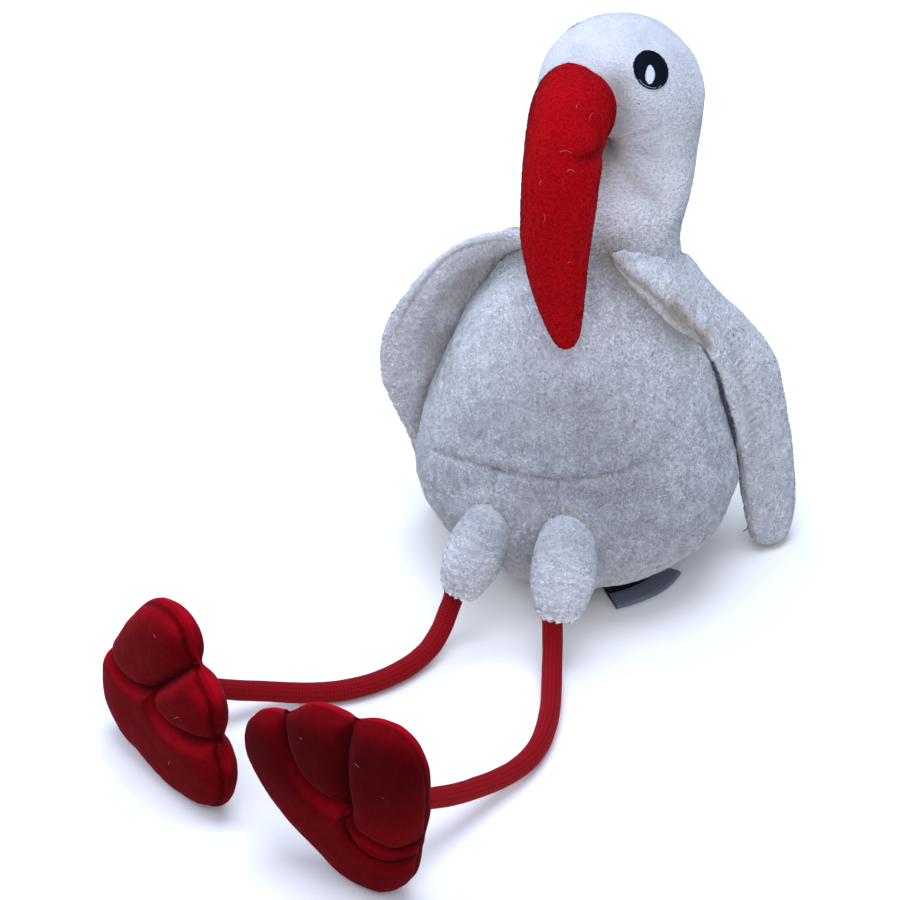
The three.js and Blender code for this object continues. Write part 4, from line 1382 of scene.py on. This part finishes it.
def foot_skin(side):
    """A stuffed webbed foot, drawn into three toes by its stitches. Returns the painted shade in its creases,
    seam and front toes, and the painted light on the faces that look up."""
    angle = np.linspace(-180, 180, FOOT_AROUND, endpoint=False)
    reach = between(FOOT_OUTLINES[side], angle)[:, 0]
    half = np.linspace(0.03, np.pi / 2, FOOT_RINGS)
    share = np.concatenate([np.sin(half), np.sin(half)[-2::-1]])[:, None]
    on_front = np.arange(len(share))[:, None] < FOOT_RINGS
    way = np.where(on_front, 1, -1)
    p = FOOT_HUB + share * reach * np.cos(np.radians(angle))
    q = share * reach * np.sin(np.radians(angle))
    flat = np.stack([p, q, np.zeros_like(p)], axis=-1)
    power, root = PILLOW
    pillow = (FOOT_THICKNESS / 2) * (1 - np.minimum(share, 1) ** power) ** root
    sunk, cut, crease_shade = foot_valleys(side, flat, on_front)
    seam = bell(pillow * way - FOOT_SEAM_PLACE[side], 1.1) * np.ones_like(p)
    # Painted shade along the edge seam.
    crease_shade = np.maximum(crease_shade, 0.6 * seam)
    # Painted shade over the front of the toes.
    crease_shade = np.maximum(crease_shade, FOOT_SHADE[side] * smoothstep(30, 55, p) * on_front)
    # Each side has its own lumps.
    apart = (way * FEET[side][3])[..., None]
    puff = 0.6 * noise(flat + apart * np.array([0, 0, 40]), 16, 51) + 0.25 * noise(flat + apart * 30, 6, 53)
    height = pillow * (1 - sunk) - np.minimum(cut, 0.7 * pillow)
    height = height + puff * share**0.5 * (1 - share**4)
    skin = Skin(foot_point(side, p, q, height * way))
    skin.push(0.12 * noise(skin.points, 4, 52) - 0.2 - FOOT_SEAM_DEPTH * seam)
    skin.points[..., 2] = np.maximum(skin.points[..., 2], 0.05)
    skin.find_normals()
    # Painted light on the faces that look up, less on the front.
    painted_top_light = np.where(on_front, 0.6, 1.0) * smoothstep(0.15, 0.75, skin.normals[..., 2])
    return skin, crease_shade, painted_top_light


def add_foot(side, material):
    skin, crease_shade, painted_top_light = foot_skin(side)
    fields = {"crease_shade": crease_shade, "painted_top_light": painted_top_light}
    add_padded(f"foot_velour_{side}", skin, material, "velour_red", 0.7, (f"foot_{side}",), **fields)


# ---- Eyes: satin stitches laid side by side ----
EYE_WIDTH = 14.2
EYE_HEIGHT = 16
EYE_PROUD = -0.55       # the stitches are drawn into the pile
THREAD = 0.42           # width of one stitch
THREAD_OVERLAP = 0.86   # spacing of the stitches over their width
STITCH_POINTS = 9
STITCH_DIP = 0.35       # how far a stitch's ends go down into the cloth
HIGHLIGHT_WIDTH = 4.5
HIGHLIGHT_HEIGHT = 7.0
HIGHLIGHT_PLACE = (-1.3, -1.9)      # from the middle of the eye: across, up
HIGHLIGHT_SLANT = 0.3   # it stands upright in an eye that leans
HIGHLIGHT_POINT = 0.3   # how far it narrows to its top
EYE_OUTLINE = (-190, 100)           # degrees round the eye's edge, from its outer side
HIGHLIGHT_OUTLINE = {1: (200, 290), -1: (250, 340)}
# The padded bed under the stitches: share of the eye's size, depth under them.
EYE_BED = [(0.05, 0.4), (0.5, 0.4), (0.9, 0.42), (0.96, 0.6), (0.96, 1.6), (0.05, 1.6)]


def eye_axes(sign):
    out = head_direction(sign * EYE_SPREAD[sign], EYE_LIFT[sign])
    across = turned(Vector((0, 0, 1)), FACING, HEAD_ROLL).cross(out).normalized()
    return np.array(out), np.array(across), np.array(out.cross(across))


def on_head(sign, across, up, proud):
    """A point over the head's skin, by its place in front of an eye."""
    out, right, above = eye_axes(sign)
    ray = out * HEAD_RADIUS + right * across[..., None] + above * up[..., None]
    radii = np.array([HEAD_RADIUS, HEAD_RADIUS * BODY_DEPTH, HEAD_CROWN])
    scale = 1 / np.linalg.norm(ray / radii, axis=-1, keepdims=True)
    return np.array(HEAD_MIDDLE) + ray * scale + unit(ray) * np.asarray(proud)[..., None]


def on_eye(sign, points, margin):
    """Where points lie in an eye's oval: 0 at its middle, 1 at its edge."""
    out, across, up = eye_axes(sign)
    offset = points - np.array(HEAD_MIDDLE)
    oval = np.hypot(
        (offset @ across) / (0.5 * EYE_WIDTH + margin), (offset @ up) / (0.5 * EYE_HEIGHT + margin))
    return np.where(offset @ out > 0, oval, 99.0)


def stitch_rows(sign, size, middle, proud, rng, point=0.0, slant=0.0, jagged=0.15):
    """Level stitches that fill an oval, each a small flattened tube."""
    width, height = size
    rows = round(height / (THREAD * THREAD_OVERLAP))
    tubes = []
    for i in range(rows):
        up = ((i + 0.5) / rows - 0.5) * height
        share = 2 * up / height
        reach = 0.5 * width * math.sqrt(max(0.0, 1 - share**2)) * (1 - point * max(0.0, share))
        if reach < 0.3:
            continue
        left = slant * up - reach - rng.uniform(-0.5, 1) * jagged
        right = slant * up + reach + rng.uniform(-0.5, 1) * jagged
        across = middle[0] + np.linspace(left, right, STITCH_POINTS)
        full = 1 - np.linspace(-1, 1, STITCH_POINTS) ** 6
        level = np.full(STITCH_POINTS, up + middle[1])
        line = on_head(sign, across, level, proud - STITCH_DIP * (1 - full))
        tubes.append(tube(line, 0.5 * THREAD * (0.55 + 0.45 * full), 6))
    return tubes


def outline_stitches(sign, arc, grow, proud, radius):
    """A running thread round part of the eye's edge."""
    angle = np.radians(np.linspace(*arc, 40))
    wobble = 0.08 * np.sin(angle * 21)
    across = (0.5 * EYE_WIDTH + grow) * np.cos(angle) * (1 + wobble / 8)
    up = (0.5 * EYE_HEIGHT + grow) * np.sin(angle)
    return [tube(on_head(sign, across, up, proud + wobble), radius, 6)]


def eye_bed(sign):
    """Rings of the padded bed under the stitches."""
    angle = np.linspace(0, 2 * np.pi, 40, endpoint=False)
    return np.array([
        on_head(sign, share * 0.5 * EYE_WIDTH * np.cos(angle), share * 0.5 * EYE_HEIGHT * np.sin(angle),
                EYE_PROUD - deep)
        for share, deep in EYE_BED
    ])


def add_eye(side, sign, dark, pale, rng):
    """A dark oval with a pale highlight, and a running thread round a part of each."""
    black = [eye_bed(sign)]
    black += stitch_rows(sign, (EYE_WIDTH, EYE_HEIGHT), (0, 0), EYE_PROUD - 0.15, rng, jagged=0.35)
    black += outline_stitches(sign, EYE_OUTLINE, -0.1, EYE_PROUD - 0.1, 0.24)
    light = stitch_rows(
        sign, (HIGHLIGHT_WIDTH, HIGHLIGHT_HEIGHT), (sign * HIGHLIGHT_PLACE[0], HIGHLIGHT_PLACE[1]),
        EYE_PROUD + 0.12, rng, HIGHLIGHT_POINT, sign * HIGHLIGHT_SLANT,
    )
    light += outline_stitches(sign, HIGHLIGHT_OUTLINE[sign], -0.5, EYE_PROUD + 0.02, 0.06)
    points, faces = join_tubes([*black, *light])
    quads = [sum(t.shape[1] * (t.shape[0] - 1) for t in group) for group in (black, light)]
    fans = [sum(2 * (t.shape[1] - 2) for t in group) for group in (black, light)]
    facets = np.concatenate([np.repeat([0, 1], quads), np.repeat([0, 1], fans)])
    piece = mesh_object(f"eye_stitches_{side}", points, faces, [dark, pale], None, facets)
    add_piece(piece, "eye_thread", f"eye_{side}")


# ---- Care label ----
LABEL_WIDTH = 36
LABEL_INNER = 31
LABEL_OUTER = 44.5
LABEL_MIDDLE = -28      # degrees about the seat, from the toy's left towards its front
LABEL_THICK = 0.5
LABEL_GAP = 1.5
LABEL_TOP = 7.5         # length of the ribbon that is folded back
LABEL_TUCKED = 3        # length of the ribbon under the seat
LABEL_LIFT = 0.25       # how far its edge waves up and down
LABEL_STEPS = 46        # points along the ribbon
LABEL_FACE = 34         # the steps before this one are black
LABEL_RINGS = 60


def label_run():
    """The ribbon's middle from under the seat, round the fold and back: distance out, height."""
    bend = LABEL_GAP / 2
    fold = LABEL_OUTER - bend
    run = [(LABEL_INNER - LABEL_TUCKED, 0.35), (fold - 4, 0.35), (fold, 0.4)]
    for turn in np.radians(np.linspace(-60, 60, 7)):
        run.append((fold + bend * math.cos(turn), 0.4 + bend + bend * math.sin(turn)))
    run += [(fold, 0.4 + LABEL_GAP), (fold - LABEL_TOP, 0.7 + LABEL_GAP)]
    return resample(np.array(run), LABEL_STEPS)


def add_label(material):
    """A ribbon that comes out from under the seat and is folded back over itself."""
    run = label_run()
    ahead = unit(np.gradient(run, axis=0))
    normal = np.stack([-ahead[:, 1], ahead[:, 0]], axis=1)
    loop = np.concatenate([run + normal * LABEL_THICK / 2, (run - normal * LABEL_THICK / 2)[::-1]])
    turns = np.radians(LABEL_MIDDLE) + np.linspace(-0.5, 0.5, LABEL_RINGS) * LABEL_WIDTH / LABEL_OUTER
    lift = LABEL_LIFT * np.sin(np.linspace(0, 7, LABEL_RINGS))[:, None] * smoothstep(34, 44, loop[:, 0])
    height = np.maximum(loop[:, 1] + lift, 0.05)
    x, y = np.outer(np.cos(turns), loop[:, 0]), np.outer(np.sin(turns), loop[:, 0])
    skin = Skin(np.stack([x, y, height], axis=2))
    dark = np.arange(2 * LABEL_STEPS) < LABEL_FACE
    piece = skin.to_mesh("label_ribbon", material, dye=np.broadcast_to(dark.astype(float), height.shape))
    add_piece(piece, "label_ribbon", "care_label")


# ---- Loose threads and lint ----
# Over the panels and the bill: route as (share of its length, turn), and how far its end stands out.
BILL_LINT = [
    ([(0.205, 68), (0.212, 70), (0.215, 67)], 0.2), ([(0.374, 101), (0.38, 104), (0.386, 102)], 0.2),
    ([(0.314, 64), (0.312, 72), (0.316, 80)], 0.2), ([(0.35, 56), (0.347, 62), (0.352, 68)], 0.2),
    ([(0.58, 352), (0.61, 358), (0.63, 361)], 1.0), ([(0.21, 44), (0.22, 47), (0.23, 46)], 0.2),
    ([(0.61, 45), (0.606, 50), (0.61, 54)], 0.3), ([(0.46, 94), (0.47, 92), (0.48, 94)], 0.2),
]
LEFT_WING_THREADS = [([(0.93, 14), (0.937, 22), (0.94, 34)], 2.6), ([(0.385, 266), (0.392, 269)], 0.5)]
RIGHT_WING_THREADS = [([(0.158, 274), (0.163, 278), (0.17, 281)], 1.0)]
HEAD_SPECK = [(29.2, 211.3), (29.6, 210.9)]     # angle, height
BELLY_SPECK = [(42.0, 88.9), (42.7, 88.2)]
# Cut thread ends at the tips of the feet's stitches: place in the foot's plane, and height.
FOOT_ENDS = {"left": [(73, -15.5, 0.5)], "right": [(71.5, -15.5, 0.5), (71.5, 15.5, 0.5)]}
FOOT_LINT = {
    "left": [(62, -22, 10.4), (50, -28, 10.6), (70, 2, 9.0)],
    "right": [(66, -28, 9.6), (66, 2, 9.8), (50, 20, 10.4)],
}
THREAD_LIFT = 0.3
LINT_RADIUS = 0.04
DARK_RADIUS = 0.22
RED_RADIUS = 0.18
CUT_LENGTH = 3.6


def threads_over(skin, runs):
    """Threads that lie over a skin and stand out at their ends."""
    lines = []
    for route, stand in runs:
        line = panel_line(skin, route, 14)
        out = unit(line - skin.points.mean(axis=1)[round(route[0][0] * (len(skin.points) - 1))])
        lines.append(line + out * (THREAD_LIFT + stand * np.linspace(0, 1, 14) ** 2)[:, None])
    return lines


def foot_lint(rng):
    """Bits of lint that lie any way on the feet."""
    return [
        foot_point(side, *place) + np.linspace(0, 1, 5)[:, None] * rng.normal(0, 0.9, 3)
        for side in FEET for place in FOOT_LINT[side]
    ]


def cut_ends(side, rng):
    """Three short stiff ends at each tip of a foot's stitches."""
    toes, outer, _ = foot_axes(side)
    lines = []
    for place, _ in itertools.product(FOOT_ENDS[side], range(3)):
        way = toes + outer * rng.uniform(-0.7, 0.7) + rng.normal(0, 0.2, 3)
        lines.append(foot_point(side, *place) + np.linspace(0, CUT_LENGTH, 6)[:, None] * unit(way))
    return lines


def add_threads(name, slot, material, lines, radius):
    points, faces = join_tubes([tube(line, radius, 5) for line in lines])
    add_piece(mesh_object(name, points, faces, [material]), slot)


# ---- Floor and light ----
FLOOR_SIZE = 6.0        # from its middle to its edge, in metres
LIGHT_AIM = (0, -0.05, 0.1)
SKY = (0.56, 0.70, 1.0)
SKY_STRENGTH = 0.67
LIGHTS = [              # name, place and size in metres, power, colour
    ("overhead", (0.0, 0.0, 1.6), 1.2, 23.5, (0.66, 0.76, 1.0)),
    ("window", (0.45, -1.25, 1.1), 1.5, 12.9, (0.72, 0.77, 1.0)),
    ("side", (-1.5, 0.0, 0.8), 1.0, 15.0, (0.66, 0.76, 1.0)),
]


def add_floor():
    corners = [(x * FLOOR_SIZE, y * FLOOR_SIZE, 0) for x, y in ((-1, -1), (1, -1), (1, 1), (-1, 1))]
    mesh = bpy.data.meshes.new("floor")
    mesh.from_pydata(corners, [], [(0, 1, 2, 3)])
    floor = bpy.data.objects.new("floor", mesh)
    bpy.context.scene.collection.objects.link(floor)
    paper = Finish("floor", 0.9)
    shade = paper.ramp(paper.noise(400, 1), (0.3, FLOOR_PIT), (0.7, FLOOR_TIP))
    mesh.materials.append(paper.coloured(shade))


def add_light(name, place, size, power, colour):
    data = bpy.data.lights.new(name, "AREA")
    data.shape = "DISK"
    data.size = size
    data.energy = power
    data.color = colour
    light = bpy.data.objects.new(name, data)
    light.location = place
    light.rotation_euler = (Vector(place) - Vector(LIGHT_AIM)).to_track_quat("Z", "Y").to_euler()
    bpy.context.scene.collection.objects.link(light)


def add_world():
    scene = bpy.context.scene
    scene.view_settings.view_transform = "Standard"
    world = bpy.data.worlds.new("studio")
    world.use_nodes = True
    background = world.node_tree.nodes["Background"]
    background.inputs["Color"].default_value = (*SKY, 1)
    background.inputs["Strength"].default_value = SKY_STRENGTH
    scene.world = world


# ---- The toy: its forms, then how they are sewn together, then their cloth ----
add_camera()
knit = knit_material()
for side in SIDES:
    add_cord(side, knit)

bill, bill_shade = bill_skin()
thighs = {side: thigh_skin(side) for side in SIDES}
tail = panel(TAIL, *TAIL_GRID)
soften(tail, TAIL_SEED)
wings = {side: panel(WINGS[side], *WING_GRID) for side in SIDES}
wing_stitching_and_shade = {}
for side in SIDES:
    soften(wings[side], WING_SEEDS[side])
    wing_stitching_and_shade[side] = fold_wing(wings[side], side)
body = body_skin()
stitching_and_shade = shape_body(body)

# Painted shade in the crease where the body's cloth meets each thigh.
for side in SIDES:
    stitching_and_shade = np.maximum(stitching_and_shade, THIGH_CREASE_SHADE * sew_on(body, solid_of(thighs[side])))
body_solid = solid_of(body)
for side in SIDES:
    tuck_in(wings[side], body_solid)
sewn_on = [solid_of(skin) for skin in (bill, tail, *thighs.values(), *wings.values())]
# The stitches and the painted crease shade so far, where the body's coat thins.
seam_and_crease_marks = stitching_and_shade
# Painted shade on the body under the left wing's front edge.
from_wing, _ = distance_to(body.points, panel_line(wings["left"], WING_JOIN))
for strength, width in JOIN_SHADES:
    stitching_and_shade = darkened(stitching_and_shade, strength, from_wing, width)

rng = np.random.default_rng(COAT_SEED)
terry = fleece_material()
add_body(body, stitching_and_shade, seam_and_crease_marks, terry, sewn_on, rng)
for side in SIDES:
    add_wing(side, wings[side], wing_stitching_and_shade[side], terry, [body_solid], rng)
for side in SIDES:
    add_thigh(side, thighs[side], terry, [body_solid], rng)
add_tail(tail, terry, [body_solid], rng)
add_bill(bill, bill_shade, [body_solid], rng)
velour = velour_material()
for side in SIDES:
    add_foot(side, velour)

navy = thread_material("navy_thread", NAVY)
lint = threads_over(bill, BILL_LINT) + foot_lint(rng)
add_threads("lint", "fleece_white", thread_material("pink_lint", LINT_PINK), lint, LINT_RADIUS)
dark = threads_over(wings["left"], LEFT_WING_THREADS) + threads_over(wings["right"], RIGHT_WING_THREADS)
add_threads("threads_dark", "eye_thread", navy, [*dark, body_line(HEAD_SPECK, 4)], DARK_RADIUS)
red = [body_line(BELLY_SPECK, 4), *cut_ends("left", rng), *cut_ends("right", rng)]
add_threads("threads_red", "felt_red", thread_material("red_thread", THREAD_RED), red, RED_RADIUS)
ivory = thread_material("ivory_thread", IVORY)
add_eye("left", 1, navy, ivory, rng)
add_eye("right", -1, navy, ivory, rng)
add_label(ribbon_material())
add_floor()
add_world()
for light in LIGHTS:
    add_light(*light)
